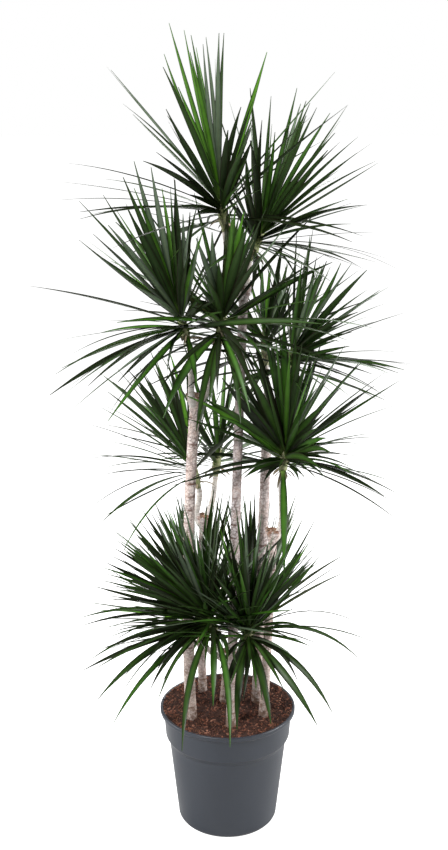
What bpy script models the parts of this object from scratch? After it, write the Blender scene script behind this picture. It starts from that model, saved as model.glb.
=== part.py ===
# Potted Madagascar dragon tree: six cut canes in a grey nursery pot, each with side shoots that end in
# rosettes of long narrow leaves. Metres, +Z up, origin at the middle of the pot's flat underside.
import math
import random

import bmesh
import bpy
from mathutils import Vector
from mathutils.bvhtree import BVHTree

UP = Vector((0.0, 0.0, 1.0))
CLEARANCE = 0.0003

# Pot: a thin moulded shell with a wide collar, seen from the underside up
POT_HEIGHT = 0.280
RIM_RADIUS = 0.155
FOOT_RADIUS = 0.100
POT_WALL = 0.0030
POT_FLOOR = 0.0040
LIP_DEPTH = 0.010
LIP_ROUND = 0.0008
LIP_WIDTH = 0.0055
COLLAR_TOP_HEIGHT = 0.262
COLLAR_TOP_RADIUS = 0.1465
COLLAR_FOOT_HEIGHT = 0.216
COLLAR_FOOT_RADIUS = 0.1430
COLLAR_ROUND = 0.003
SHOULDER_HEIGHT = 0.197
SHOULDER_RADIUS = 0.1338
CORNER_HEIGHT = 0.015
CORNER_RADIUS = 0.1145
CORNER_TURNS = 3
POT_SIDES = 48
DRAIN_COUNT = 3
DRAIN_PHASE = math.radians(219.5)
DRAIN_SIZE = (0.020, 0.012, 0.005)
DRAIN_HEIGHT = 0.0075

# Soil: fills the pot to just under its rim
SOIL_TOP = 0.276

# Canes: foot and waist are places along the axis, top is the middle of the flat cut
CANES = {
    "cane_front_left": dict(
        foot=(-0.082, -0.065), waist=(-0.086, -0.062, 0.66), top=(-0.067, -0.050, 1.033), radius=0.0128),
    "cane_back_left": dict(
        foot=(-0.058, 0.062), waist=(-0.061, 0.070, 0.51), top=(-0.054, 0.070, 0.722), radius=0.0100),
    "cane_front": dict(
        foot=(0.007, -0.096), waist=(0.018, -0.070, 0.80), top=(0.033, -0.030, 1.260), radius=0.0110),
    "cane_low": dict(
        foot=(-0.009, 0.010), waist=(-0.004, 0.004, 0.35), top=(0.003, 0.000, 0.420), radius=0.0095),
    "cane_right": dict(
        foot=(0.080, -0.056), waist=(0.091, -0.050, 0.513), top=(0.099, -0.030, 0.725), radius=0.0105),
    "cane_back_right": dict(
        foot=(0.068, 0.010), waist=(0.077, 0.030, 0.624), top=(0.089, 0.060, 0.977), radius=0.0125),
}
CANE_SIDES = 10
CANE_RINGS = 7
CANE_TAPER = 0.12
FLARE = 0.12
FLARE_HEIGHT = 0.020
FLARE_SPAN = 0.028
SHORT_FLARE_SPAN = 0.012
KNUCKLE = 0.75
KNUCKLE_HEIGHT = 0.045
KNUCKLE_RINGS = (0.5, 0.15, 0.0)

# Heads: heart is where the leaves spring, fork is how far below its cane's cut the shoot leaves the cane.
# leaf is the leaves' length, and droop how much more or less than usual they bend down.
HEADS = {
    "top_left": dict(
        cane="cane_front", fork=0.030, heart=(-0.012, -0.062, 1.408),
        lean=(-0.14, -0.06), leaf=0.367, droop=0.8),
    "top_right": dict(
        cane="cane_front", fork=0.022, heart=(0.060, -0.006, 1.341),
        lean=(0.38, 0.06), leaf=0.335, droop=0.85),
    "upper_left": dict(
        cane="cane_front_left", fork=0.030, heart=(-0.092, -0.080, 1.179),
        lean=(-0.28, -0.10), leaf=0.368, droop=0.9),
    "upper_front": dict(
        cane="cane_front_left", fork=0.026, heart=(-0.014, -0.090, 1.183),
        lean=(0.10, -0.16), leaf=0.310, droop=0.9),
    "upper_back": dict(
        cane="cane_back_right", fork=0.030, heart=(0.083, 0.115, 1.094),
        lean=(-0.05, 0.36), leaf=0.312, droop=0.9),
    "upper_right": dict(
        cane="cane_back_right", fork=0.042, heart=(0.130, 0.020, 1.080),
        lean=(0.32, 0.02), leaf=0.308, droop=0.9),
    "middle_right": dict(
        cane="cane_right", fork=0.032, heart=(0.1207, -0.030, 0.8774),
        lean=(0.10, -0.16), leaf=0.320, droop=0.9),
    "middle_left": dict(
        cane="cane_back_left", fork=0.030, heart=(-0.076, 0.074, 0.819),
        lean=(-0.28, 0.08), leaf=0.315, droop=1.1),
    "middle_back": dict(
        cane="cane_back_left", fork=0.024, heart=(-0.024, 0.125, 0.832),
        lean=(0.10, 0.34), leaf=0.295, droop=0.9),
    "low_left": dict(
        cane="cane_low", fork=0.026, heart=(-0.036, -0.104, 0.530),
        lean=(-0.26, -0.14), leaf=0.305, droop=1.0),
    "low_front": dict(
        cane="cane_low", fork=0.040, heart=(0.044, -0.118, 0.508),
        lean=(0.04, -0.28), leaf=0.300, droop=1.0),
    "low_right": dict(
        cane="cane_low", fork=0.022, heart=(0.057, 0.040, 0.452),
        lean=(0.30, 0.14), leaf=0.315, droop=0.95),
    "low_back": dict(
        cane="cane_low", fork=0.034, heart=(-0.062, 0.020, 0.470),
        lean=(-0.24, 0.26), leaf=0.305, droop=1.0),
}
SHOOT_RADIUS = 0.0068
SHOOT_TIP_RADIUS = 0.0060
SHOOT_SIDES = 8
SHOOT_RINGS = 6
SHOOT_OUTWARD = 0.8
SHOOT_UPWARD = 0.6
SHOOT_FIRST_BEND = (0.45, 0.050)
SHOOT_LAST_BEND = (0.40, 0.100)

# A head's own stem: from the shoot's tip below the heart, where it swells, to the growing point above it
STEM_BELOW = 0.040
STEM_ABOVE = 0.042
STEM_RADII = (SHOOT_TIP_RADIUS, 0.0069, 0.0100, 0.0090, 0.0035)
STEM_SIDES = 8
STEM_NECK = -0.75
OLDEST_LEAF = -0.45
STEM_CROWN = 0.45
YOUNGEST_LEAF = 0.75

# Leaves: narrow keeled blades, set round the stem by the golden angle, the oldest lowest
LEAVES_PER_HEAD = 37
GOLDEN_ANGLE = math.radians(137.508)
LEAF_WIDTH = 0.0165
LEAF_KEEL = 0.0042
KEEL_LEAST = 0.4
LOWEST_RISE = math.radians(-30.0)
HIGHEST_RISE = math.radians(84.0)
RISE_CURVE = 0.80
SAG_POWER = 1.3
LEVEL_SAG = 0.36
SAG_SPREAD = 0.3
SHORTEST_SHARE = 0.82
LONGEST_SHARE = 1.0
YOUNG_AGE = 0.85
YOUNG_SHORTFALL = 0.25
PATH_STEPS = 12
STIFF_RINGS = ((0.26, 1.0), (0.66, 0.72))
ARCHED_RINGS = ((0.16, 0.82), (0.45, 1.0), (0.76, 0.58))
ARCHED_SAG = 0.45
TURN_SPREAD = 0.16
RISE_SPREAD = 0.10
LEAF_TRIES = 24
TRY_FREEDOM = 0.15
LEAF_MARGIN = 0.0009
WELD = 0.000003
SEED = 41

POT_COLOUR = (0.072, 0.082, 0.102)
SOIL_COLOUR = (0.085, 0.040, 0.027)
BARK_COLOUR = (0.560, 0.440, 0.370)
SHOOT_COLOUR = (0.520, 0.450, 0.380)
LEAF_COLOUR = (0.030, 0.085, 0.022)


def clear_scene():
    for thing in list(bpy.data.objects):
        bpy.data.objects.remove(thing, do_unlink=True)


def finish_material(name, colour, roughness):
    found = bpy.data.materials.get(name)
    if found:
        return found
    material = bpy.data.materials.new(name)
    material.use_nodes = True
    shader = material.node_tree.nodes["Principled BSDF"]
    shader.inputs["Base Color"].default_value = (*colour, 1.0)
    shader.inputs["Roughness"].default_value = roughness
    shader.inputs["Metallic"].default_value = 0.0
    return material


def new_object(name, bm, material=None, smooth_angle=None):
    bmesh.ops.recalc_face_normals(bm, faces=bm.faces)
    mesh = bpy.data.meshes.new(name)
    bm.to_mesh(mesh)
    bm.free()
    if smooth_angle:
        mesh.shade_smooth()
        mesh.set_sharp_from_angle(angle=smooth_angle)
    if material:
        mesh.materials.append(material)
    thing = bpy.data.objects.new(name, mesh)
    bpy.context.scene.collection.objects.link(thing)
    return thing


def apply_modifier(thing, modifier):
    with bpy.context.temp_override(object=thing, active_object=thing):
        bpy.ops.object.modifier_apply(modifier=modifier.name)


def cut_away(thing, cutter):
    """Subtract the cutter from the thing, and remove the cutter."""
    cutter.hide_render = True
    cutter.display_type = "WIRE"
    modifier = thing.modifiers.new("cut", "BOOLEAN")
    modifier.operation = "DIFFERENCE"
    modifier.object = cutter
    modifier.solver = "EXACT"
    apply_modifier(thing, modifier)
    bpy.data.objects.remove(cutter, do_unlink=True)


def turned(profile, sides):
    """Turn a profile of (radius, height) about the Z axis; its first and last points lie on the axis."""
    bm = bmesh.new()
    rings = []
    for radius, height in profile[1:-1]:
        turn = [2 * math.pi * k / sides for k in range(sides)]
        rings.append([bm.verts.new((radius * math.cos(a), radius * math.sin(a), height)) for a in turn])
    for low, high in zip(rings, rings[1:]):
        for k in range(sides):
            after = (k + 1) % sides
            bm.faces.new((low[k], low[after], high[after], high[k]))
    bm.faces.new(rings[0])
    bm.faces.new(rings[-1])
    return bm


def pot_outside():
    """The outer profile from the underside's edge, round the corner and up to the top of the lip."""
    corner = []
    for k in range(CORNER_TURNS + 1):
        turn = 0.5 * math.pi * k / CORNER_TURNS
        radius = FOOT_RADIUS + (CORNER_RADIUS - FOOT_RADIUS) * math.sin(turn)
        corner.append((radius, CORNER_HEIGHT * (1.0 - math.cos(turn))))
    return corner + [
        (SHOULDER_RADIUS, SHOULDER_HEIGHT),
        (COLLAR_FOOT_RADIUS - COLLAR_ROUND, COLLAR_FOOT_HEIGHT - 2 * COLLAR_ROUND),
        (COLLAR_FOOT_RADIUS, COLLAR_FOOT_HEIGHT),
        (COLLAR_TOP_RADIUS, COLLAR_TOP_HEIGHT),
        (RIM_RADIUS - 2 * LIP_ROUND, POT_HEIGHT - LIP_DEPTH),
        (RIM_RADIUS, POT_HEIGHT - 0.6 * LIP_DEPTH),
        (RIM_RADIUS - LIP_ROUND, POT_HEIGHT - LIP_ROUND),
        (RIM_RADIUS - 3 * LIP_ROUND, POT_HEIGHT),
    ]


def pot_inside(gap):
    """The inner profile from the soil's edge to the floor's edge, moved into the hollow by a gap."""
    inset = POT_WALL + gap
    return [
        (COLLAR_TOP_RADIUS - inset, SOIL_TOP),
        (COLLAR_TOP_RADIUS - inset, COLLAR_TOP_HEIGHT - POT_WALL),
        (COLLAR_FOOT_RADIUS - inset, COLLAR_FOOT_HEIGHT),
        (SHOULDER_RADIUS - inset, SHOULDER_HEIGHT),
        (CORNER_RADIUS - inset, CORNER_HEIGHT),
        (FOOT_RADIUS + POT_FLOOR - gap, POT_FLOOR + gap),
    ]


def make_pot():
    lip = [
        (RIM_RADIUS - LIP_WIDTH, POT_HEIGHT - LIP_ROUND),
        (COLLAR_TOP_RADIUS - POT_WALL, POT_HEIGHT - LIP_WIDTH),
    ]
    profile = [(0.0, 0.0)] + pot_outside() + lip + pot_inside(0.0)[1:] + [(0.0, POT_FLOOR)]
    material = finish_material("pot_plastic", POT_COLOUR, 0.42)
    pot = new_object("pot", turned(profile, POT_SIDES), material, math.radians(24))
    for k in range(DRAIN_COUNT):
        cut_away(pot, drain_cutter(DRAIN_PHASE + 2 * math.pi * k / DRAIN_COUNT))
    return pot


def drain_cutter(angle):
    """A box across the pot's bottom corner, clear of the flat underside."""
    bm = bmesh.new()
    bmesh.ops.create_cube(bm, size=1.0)
    for vert in bm.verts:
        along, across, rise = (c * s for c, s in zip(vert.co, DRAIN_SIZE))
        reach = CORNER_RADIUS + along
        vert.co = (
            reach * math.cos(angle) - across * math.sin(angle),
            reach * math.sin(angle) + across * math.cos(angle),
            DRAIN_HEIGHT + rise,
        )
    return new_object("drain_cutter", bm)


def make_soil():
    wall = pot_inside(CLEARANCE + 0.0001)
    profile = [(0.0, wall[-1][1])] + wall[::-1] + [(0.0, SOIL_TOP)]
    material = finish_material("potting_soil", SOIL_COLOUR, 0.95)
    return new_object("soil", turned(profile, POT_SIDES), material)


def frames_along(points, end_direction=None):
    """A side and a front direction at each point, carried along the line without twist."""
    frames = []
    side = None
    for k, point in enumerate(points):
        tangent = (points[min(k + 1, len(points) - 1)] - points[max(k - 1, 0)]).normalized()
        if end_direction and k == len(points) - 1:
            tangent = end_direction
        if side is None:
            side = tangent.cross(Vector((0.0, 1.0, 0.0))).normalized()
        side = (side - tangent * side.dot(tangent)).normalized()
        frames.append((side, tangent.cross(side)))
    return frames


def tube(points, radii, sides, end_direction=None):
    """A tapering limb through the points. Its ends are level, as a saw leaves them, or square to it."""
    bm = bmesh.new()
    rings = []
    for point, radius, (side, front) in zip(points, radii, frames_along(points, end_direction)):
        ring = []
        for k in range(sides):
            angle = 2 * math.pi * k / sides
            place = point + (side * math.cos(angle) + front * math.sin(angle)) * radius
            if end_direction is None and (point is points[0] or point is points[-1]):
                place.z = point.z
            ring.append(bm.verts.new(place))
        rings.append(ring)
    for low, high in zip(rings, rings[1:]):
        for k in range(sides):
            after = (k + 1) % sides
            bm.faces.new((low[k], low[after], high[after], high[k]))
    bm.faces.new(rings[0])
    bm.faces.new(rings[-1])
    return bm


def cane_axis(cane, height):
    """The cane's axis at a height: the parabola through its foot, waist and top."""
    foot = Vector((*cane["foot"], SOIL_TOP))
    waist = Vector(cane["waist"])
    top = Vector(cane["top"])
    at_foot = (height - waist.z) * (height - top.z) / ((foot.z - waist.z) * (foot.z - top.z))
    at_waist = (height - foot.z) * (height - top.z) / ((waist.z - foot.z) * (waist.z - top.z))
    at_top = (height - foot.z) * (height - waist.z) / ((top.z - foot.z) * (top.z - waist.z))
    place = foot * at_foot + waist * at_waist + top * at_top
    return Vector((place.x, place.y, height))


def cane_radius(cane, height):
    """The cane's radius: a slow taper, a flared foot and a swollen knuckle under the cut."""
    top = cane["top"][2]
    share = (height - SOIL_TOP) / (top - SOIL_TOP)
    flare = FLARE * math.exp(-(height - SOIL_TOP) / FLARE_HEIGHT)
    swell = max(0.0, 1.0 - (top - height) / KNUCKLE_HEIGHT)
    swell = KNUCKLE * swell * swell * (3.0 - 2.0 * swell)
    return cane["radius"] * (1.0 - CANE_TAPER * share + flare + swell)


def cane_heights(cane):
    """Where the cane's rings lie: its foot, above the flare, evenly to the knuckle, and round that."""
    low = SOIL_TOP + CLEARANCE
    top = cane["top"][2]
    knuckle = top - KNUCKLE_HEIGHT
    span = FLARE_SPAN if knuckle - low > 4 * FLARE_SPAN else SHORT_FLARE_SPAN
    rise = knuckle - low - span
    between = [low + span + rise * k / (CANE_RINGS - 1) for k in range(CANE_RINGS)]
    return [low] + between + [top - share * KNUCKLE_HEIGHT for share in KNUCKLE_RINGS]


def cane_mesh(cane, grow=0.0):
    heights = cane_heights(cane)
    points = [cane_axis(cane, height) for height in heights]
    radii = [cane_radius(cane, height) + grow for height in heights]
    if grow:
        points[0].z -= grow
        points[-1].z += grow
    return tube(points, radii, CANE_SIDES)


def make_cane(name):
    material = finish_material("cane_bark", BARK_COLOUR, 0.85)
    return new_object(name, cane_mesh(CANES[name]), material, math.radians(40))


def head_axis(head):
    return Vector((*head["lean"], 1.0)).normalized()


def shoot_end(head):
    return Vector(head["heart"]) - head_axis(head) * STEM_BELOW


def bezier(a, b, c, d, t):
    s = 1.0 - t
    return a * s ** 3 + b * 3 * s * s * t + c * 3 * s * t * t + d * t ** 3


def shoot_points(head):
    """A shoot leaves the cane's side under the cut, swings out and up, and ends on the head's axis."""
    cane = CANES[head["cane"]]
    start = cane_axis(cane, cane["top"][2] - head["fork"])
    end = shoot_end(head)
    away = Vector((end.x - start.x, end.y - start.y, 0.0)).normalized()
    reach = (end - start).length
    leaving, arriving = (min(share * reach, most) for share, most in (SHOOT_FIRST_BEND, SHOOT_LAST_BEND))
    first = start + (away * SHOOT_OUTWARD + UP * SHOOT_UPWARD) * leaving
    last = end - head_axis(head) * arriving
    return [bezier(start, first, last, end, k / SHOOT_RINGS) for k in range(SHOOT_RINGS + 1)]


def make_shoot(name, head):
    points = shoot_points(head)
    change = SHOOT_TIP_RADIUS - SHOOT_RADIUS
    radii = [SHOOT_RADIUS + change * k / SHOOT_RINGS for k in range(SHOOT_RINGS + 1)]
    material = finish_material("shoot_bark", SHOOT_COLOUR, 0.8)
    bark = tube(points, radii, SHOOT_SIDES, head_axis(head))
    shoot = new_object("shoot_" + name, bark, material, math.radians(50))
    cut_away(shoot, new_object("cane_cutter", cane_mesh(CANES[head["cane"]], 1.5 * CLEARANCE)))
    return shoot


def stem_mesh(head):
    """The head's stem: from just clear of the shoot's tip, swelling at the heart, to the growing point."""
    axis = head_axis(head)
    stations = (
        CLEARANCE - STEM_BELOW,
        STEM_NECK * STEM_BELOW,
        OLDEST_LEAF * STEM_BELOW,
        STEM_CROWN * STEM_ABOVE,
        STEM_ABOVE,
    )
    points = [Vector(head["heart"]) + axis * along for along in stations]
    return tube(points, STEM_RADII, STEM_SIDES, axis)


def leaf_path(root, heading, length, sag):
    """A blade's middle line: it sets out along its heading and bends down more the further it goes."""
    points = [root]
    for k in range(PATH_STEPS):
        share = (k + 0.5) / PATH_STEPS
        onward = (heading - UP * sag * share ** SAG_POWER).normalized()
        points.append(points[-1] + onward * (length / PATH_STEPS))
    return points


def leaf_sag(head, heading, chance):
    """How much a leaf bends down: the lower it sets out, the more it sags."""
    sag = LEVEL_SAG * math.exp(-math.asin(heading.z)) * head["droop"]
    return sag * chance.uniform(1.0 - SAG_SPREAD, 1.0 + SAG_SPREAD)


def leaf_plan(head, index, chance, freedom):
    """Where one leaf of a head starts, and how it lies: by its age, 0 for the oldest, 1 the youngest."""
    age = index / (LEAVES_PER_HEAD - 1)
    axis = head_axis(head)
    across = axis.cross(Vector((0.0, 1.0, 0.0))).normalized()
    ahead = axis.cross(across)
    turn = index * GOLDEN_ANGLE + freedom * chance.uniform(-TURN_SPREAD, TURN_SPREAD)
    rise = LOWEST_RISE + (HIGHEST_RISE - LOWEST_RISE) * age ** RISE_CURVE
    rise += freedom * chance.uniform(-RISE_SPREAD, RISE_SPREAD)
    outward = across * math.cos(turn) + ahead * math.sin(turn)
    heading = outward * math.cos(rise) + axis * math.sin(rise)
    sag = leaf_sag(head, heading, chance)
    length = head["leaf"] * chance.uniform(SHORTEST_SHARE, LONGEST_SHARE)
    length *= 1.0 - YOUNG_SHORTFALL * max(0.0, age - YOUNG_AGE) / (1.0 - YOUNG_AGE)
    along = OLDEST_LEAF * STEM_BELOW * (1.0 - age) + YOUNGEST_LEAF * STEM_ABOVE * age
    root = Vector(head["heart"]) + axis * along
    return root, heading, axis.cross(outward), length, sag


def blade_mesh(path, side, sag, grow=0.0):
    """A closed three-edged blade: flat above, keeled below, pointed at its root and at its tip."""
    stations = ARCHED_RINGS if sag > ARCHED_SAG else STIFF_RINGS
    bm = bmesh.new()
    onward = (path[1] - path[0]).normalized()
    root = bm.verts.new(path[0] - onward * grow)
    rings = []
    for share, fullness in stations:
        k = share * PATH_STEPS
        low = min(int(k), PATH_STEPS - 1)
        place = path[low].lerp(path[low + 1], k - low)
        tangent = (path[low + 1] - path[low]).normalized()
        edge = (side - tangent * side.dot(tangent)).normalized()
        face = tangent.cross(edge)
        half = 0.5 * LEAF_WIDTH * fullness + grow
        keel = LEAF_KEEL * (KEEL_LEAST + (1.0 - KEEL_LEAST) * fullness) + grow
        top = place + face * grow
        corners = (top + edge * half, place - face * keel, top - edge * half)
        rings.append([bm.verts.new(corner) for corner in corners])
    tip = bm.verts.new(path[-1] + (path[-1] - path[-2]).normalized() * grow)
    for k in range(3):
        after = (k + 1) % 3
        bm.faces.new((root, rings[0][k], rings[0][after]))
        bm.faces.new((tip, rings[-1][after], rings[-1][k]))
        for low, high in zip(rings, rings[1:]):
            bm.faces.new((low[k], high[k], high[after]))
            bm.faces.new((low[k], high[after], low[after]))
    bmesh.ops.recalc_face_normals(bm, faces=bm.faces)
    return bm


def tree_of(bm):
    tree = BVHTree.FromBMesh(bm)
    bm.free()
    return tree


def object_tree(thing):
    bm = bmesh.new()
    bm.from_mesh(thing.data)
    return tree_of(bm)


def clear_leaf(name, index, solids, grown, chance):
    """The first of a few tries, each freer than the last, at a leaf that touches no limb or other head."""
    for attempt in range(LEAF_TRIES):
        freedom = 1.0 + TRY_FREEDOM * attempt
        root, heading, side, length, sag = leaf_plan(HEADS[name], index, chance, freedom)
        path = leaf_path(root, heading, length, sag)
        around = tree_of(blade_mesh(path, side, sag, LEAF_MARGIN))
        if any(around.overlap(solid) for solid in solids):
            continue
        if any(around.overlap(leaf) for other in grown if other != name for leaf in grown[other]):
            continue
        return path, side, sag
    return None


def grow_leaves(limbs):
    """Deal leaves to the heads in turn, oldest first, so that no head fills another's space."""
    chance = random.Random(SEED)
    solids = [object_tree(limb) for limb in limbs]
    grown = {name: [tree_of(stem_mesh(head))] for name, head in HEADS.items()}
    leaves = {name: [] for name in HEADS}
    for index in range(LEAVES_PER_HEAD):
        for name in HEADS:
            leaf = clear_leaf(name, index, solids, grown, chance)
            if leaf:
                leaves[name].append(leaf)
                grown[name].append(tree_of(blade_mesh(*leaf)))
    return leaves


def shells_of(bm):
    """The mesh's separate closed shells, as sets of faces."""
    shells = []
    unseen = set(bm.faces)
    while unseen:
        shell = {unseen.pop()}
        edge = list(shell)
        while edge:
            near = {f for e in edge.pop().edges for f in e.link_faces} - shell
            shell |= near
            edge.extend(near)
        unseen -= shell
        shells.append(shell)
    return shells


def tidy_union(mesh):
    """Drop loose scraps and the shells of sealed hollows, which fills them. True if it is closed."""
    bm = bmesh.new()
    bm.from_mesh(mesh)
    bmesh.ops.remove_doubles(bm, verts=bm.verts, dist=WELD)
    bmesh.ops.triangulate(bm, faces=bm.faces)
    shells = shells_of(bm)
    outer = max(shells, key=len)
    scraps = [face for shell in shells if shell is not outer for face in shell]
    bmesh.ops.delete(bm, geom=scraps, context="FACES")
    closed = all(len(edge.link_faces) == 2 for edge in bm.edges)
    bm.to_mesh(mesh)
    bm.free()
    return closed


def fused_head(name, leaves, solver):
    """The stem and its leaves joined by one union, or None where the union leaves an open edge."""
    material = finish_material("leaf_green", LEAF_COLOUR, 0.45)
    head = new_object("head_" + name, stem_mesh(HEADS[name]), material)
    blades = bpy.data.collections.new("blades")
    bpy.context.scene.collection.children.link(blades)
    for leaf in leaves:
        blade = new_object("blade", blade_mesh(*leaf))
        bpy.context.scene.collection.objects.unlink(blade)
        blades.objects.link(blade)
    modifier = head.modifiers.new("join", "BOOLEAN")
    modifier.operation = "UNION"
    modifier.operand_type = "COLLECTION"
    modifier.collection = blades
    modifier.solver = solver
    apply_modifier(head, modifier)
    for blade in list(blades.objects):
        bpy.data.objects.remove(blade, do_unlink=True)
    bpy.data.collections.remove(blades)
    if tidy_union(head.data):
        return head
    bpy.data.objects.remove(head, do_unlink=True)
    return None


def make_head(name, leaves):
    """One foliage mass. A head that neither solver closes gets one leaf fewer."""
    head = None
    while head is None:
        head = fused_head(name, leaves, "EXACT") or fused_head(name, leaves, "MANIFOLD")
        leaves = leaves[:-1]
    return head


def main():
    clear_scene()
    limbs = [make_pot(), make_soil()]
    limbs += [make_cane(name) for name in CANES]
    limbs += [make_shoot(name, head) for name, head in HEADS.items()]
    leaves = grow_leaves(limbs)
    for name in HEADS:
        make_head(name, leaves[name])


main()
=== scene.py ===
# Potted Madagascar dragon tree: bark, leaves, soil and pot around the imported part. Metres, +Z up.
import math
import random

import bmesh
import bpy
from mathutils import Matrix, Vector, noise
from mathutils.bvhtree import BVHTree


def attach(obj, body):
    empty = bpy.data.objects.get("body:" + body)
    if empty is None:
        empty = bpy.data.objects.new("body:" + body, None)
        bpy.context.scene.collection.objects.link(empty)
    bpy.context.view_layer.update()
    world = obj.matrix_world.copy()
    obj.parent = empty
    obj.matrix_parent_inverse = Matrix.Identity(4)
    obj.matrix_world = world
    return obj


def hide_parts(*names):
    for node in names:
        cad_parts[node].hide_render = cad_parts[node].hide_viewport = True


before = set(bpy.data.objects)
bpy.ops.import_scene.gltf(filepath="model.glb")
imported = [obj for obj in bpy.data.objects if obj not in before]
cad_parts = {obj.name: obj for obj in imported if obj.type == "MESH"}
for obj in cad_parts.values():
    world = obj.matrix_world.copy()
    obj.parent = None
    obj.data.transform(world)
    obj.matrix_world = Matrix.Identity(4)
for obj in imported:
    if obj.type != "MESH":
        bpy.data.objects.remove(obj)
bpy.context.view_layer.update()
up = Vector((0.0, 0.0, 1.0))
print("frame loaded:", len(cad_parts), "nodes")


# Small helpers for node trees
def plug(tree, value, socket):
    if isinstance(value, bpy.types.NodeSocket):
        tree.links.new(value, socket)
    else:
        socket.default_value = value


def addNode(tree, kind, feeds=None, **settings):
    node = tree.nodes.new(kind)
    for name, value in settings.items():
        setattr(node, name, value)
    for name, value in (feeds or {}).items():
        plug(tree, value, node.inputs[name])
    return node


def calc(tree, operation, *values):
    return addNode(tree, "ShaderNodeMath", dict(enumerate(values)), operation=operation).outputs[0]


def vectorCalc(tree, operation, *values):
    return addNode(tree, "ShaderNodeVectorMath", dict(enumerate(values)), operation=operation).outputs[0]


def ramp(tree, value, low, high, fromLow=0.0, fromHigh=1.0, smooth=True):
    feeds = {"Value": value, "From Min": fromLow, "From Max": fromHigh, "To Min": low, "To Max": high}
    kind = "SMOOTHSTEP" if smooth else "LINEAR"
    return addNode(tree, "ShaderNodeMapRange", feeds, interpolation_type=kind).outputs[0]


def mixColour(tree, factor, first, second):
    feeds = {"Factor": factor, "A": first, "B": second}
    node = addNode(tree, "ShaderNodeMix", data_type="RGBA")
    for name, value in feeds.items():
        socket = next(s for s in node.inputs if s.name == name and s.enabled)
        plug(tree, value, socket)
    return next(s for s in node.outputs if s.enabled)


def overlay(tree, base, mask, amount, colour):
    # a colour laid over the base where the mask shows
    return mixColour(tree, calc(tree, "MULTIPLY", mask, amount), base, colour)


def shaded(colour, amount):
    return tuple(amount * c for c in colour[:3]) + (1.0,)


def stretched(tree, vector, amount):
    feeds = {0: vector, "Scale": amount}
    return addNode(tree, "ShaderNodeVectorMath", feeds, operation="SCALE").outputs[0]


def heightOf(tree, place):
    return addNode(tree, "ShaderNodeSeparateXYZ", {"Vector": place}).outputs["Z"]


def noiseAt(tree, place, scale, detail):
    feeds = {"Vector": place, "Scale": scale, "Detail": detail}
    return addNode(tree, "ShaderNodeTexNoise", feeds).outputs[0]


def newTree(name, kind, inputs, outputs):
    # inputs and outputs are name, socket type and, for most, the default
    tree = bpy.data.node_groups.new(name, kind)
    for direction, sockets in (("INPUT", inputs), ("OUTPUT", outputs)):
        for label, socketType, *start in sockets:
            item = tree.interface.new_socket(label, in_out=direction, socket_type="NodeSocket" + socketType)
            if start:
                item.default_value = start[0]
    entry = tree.nodes.new("NodeGroupInput")
    return tree, entry.outputs, tree.nodes.new("NodeGroupOutput")


def readAttribute(tree, name, kind="FLOAT"):
    return addNode(tree, "GeometryNodeInputNamedAttribute", {"Name": name},
                   data_type=kind).outputs["Attribute"]


def storeAttribute(tree, geometry, name, value, kind="FLOAT"):
    feeds = {"Geometry": geometry, "Name": name, "Value": value}
    return addNode(tree, "GeometryNodeStoreNamedAttribute", feeds, data_type=kind,
                   domain="POINT").outputs[0]


def setMaterial(tree, geometry, material, selection=True):
    feeds = {"Geometry": geometry, "Selection": selection, "Material": material}
    return addNode(tree, "GeometryNodeSetMaterial", feeds).outputs[0]


# A guide is a mesh of lines. Growing it applies a geometry tree and leaves a plain mesh.
def makeGuide(name, lines, attributes):
    places = [place for line in lines for place in line]
    edges = []
    for line in lines:
        first = edges[-1][1] + 1 if edges else 0
        edges += [(first + k, first + k + 1) for k in range(len(line) - 1)]
    mesh = bpy.data.meshes.new(name)
    mesh.from_pydata(places, edges, [])
    for label, kind, values in attributes:
        layer = mesh.attributes.new(label, kind, "POINT")
        flat = values if kind != "FLOAT_VECTOR" else [c for value in values for c in value]
        layer.data.foreach_set("vector" if kind == "FLOAT_VECTOR" else "value", flat)
    return addObject(name, mesh)


def addObject(name, mesh):
    thing = bpy.data.objects.new(name, mesh)
    bpy.context.scene.collection.objects.link(thing)
    return thing


def growPiece(name, guide, tree, values):
    modifier = guide.modifiers.new("grow", "NODES")
    modifier.node_group = tree
    identifiers = {i.name: i.identifier for i in tree.interface.items_tree if i.in_out == "INPUT"}
    for label, value in values.items():
        modifier[identifiers[label]] = value
    graph = bpy.context.evaluated_depsgraph_get()
    mesh = bpy.data.meshes.new_from_object(guide.evaluated_get(graph), preserve_all_data_layers=True,
                                           depsgraph=graph)
    bpy.data.objects.remove(guide, do_unlink=True)
    mesh.name = name
    return addObject(name, mesh)


def finishMesh(name, bm):
    mesh = bpy.data.meshes.new(name)
    bm.to_mesh(mesh)
    bm.free()
    return mesh


def outward(thing):
    bm = bmesh.new()
    bm.from_mesh(thing.data)
    bmesh.ops.recalc_face_normals(bm, faces=bm.faces)
    bm.to_mesh(thing.data)
    bm.free()


def settle(piece, slot, *nodes):
    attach(piece, "root")
    if nodes:
        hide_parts(*nodes)


# Camera at the photograph's place, and the way from its pixels into the room
photoCamera = dict(lens=50.0, sensor=36.0, pitchDown=15.2, place=(-0.0083, -2.461, 1.616), width=448,
                   height=850)


def makeCamera():
    data = bpy.data.cameras.new("photoCamera")
    data.lens = photoCamera["lens"]
    data.sensor_width = photoCamera["sensor"]
    camera = bpy.data.objects.new("photoCamera", data)
    camera.location = photoCamera["place"]
    camera.rotation_euler = (math.radians(90.0 - photoCamera["pitchDown"]), 0.0, 0.0)
    bpy.context.scene.collection.objects.link(camera)
    bpy.context.scene.camera = camera


def photoLens():
    # the camera's tilt, and its focal length in pixels
    tilt = Matrix.Rotation(math.radians(90.0 - photoCamera["pitchDown"]), 3, "X")
    return tilt, photoCamera["lens"] / photoCamera["sensor"] * photoCamera["height"]


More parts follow.
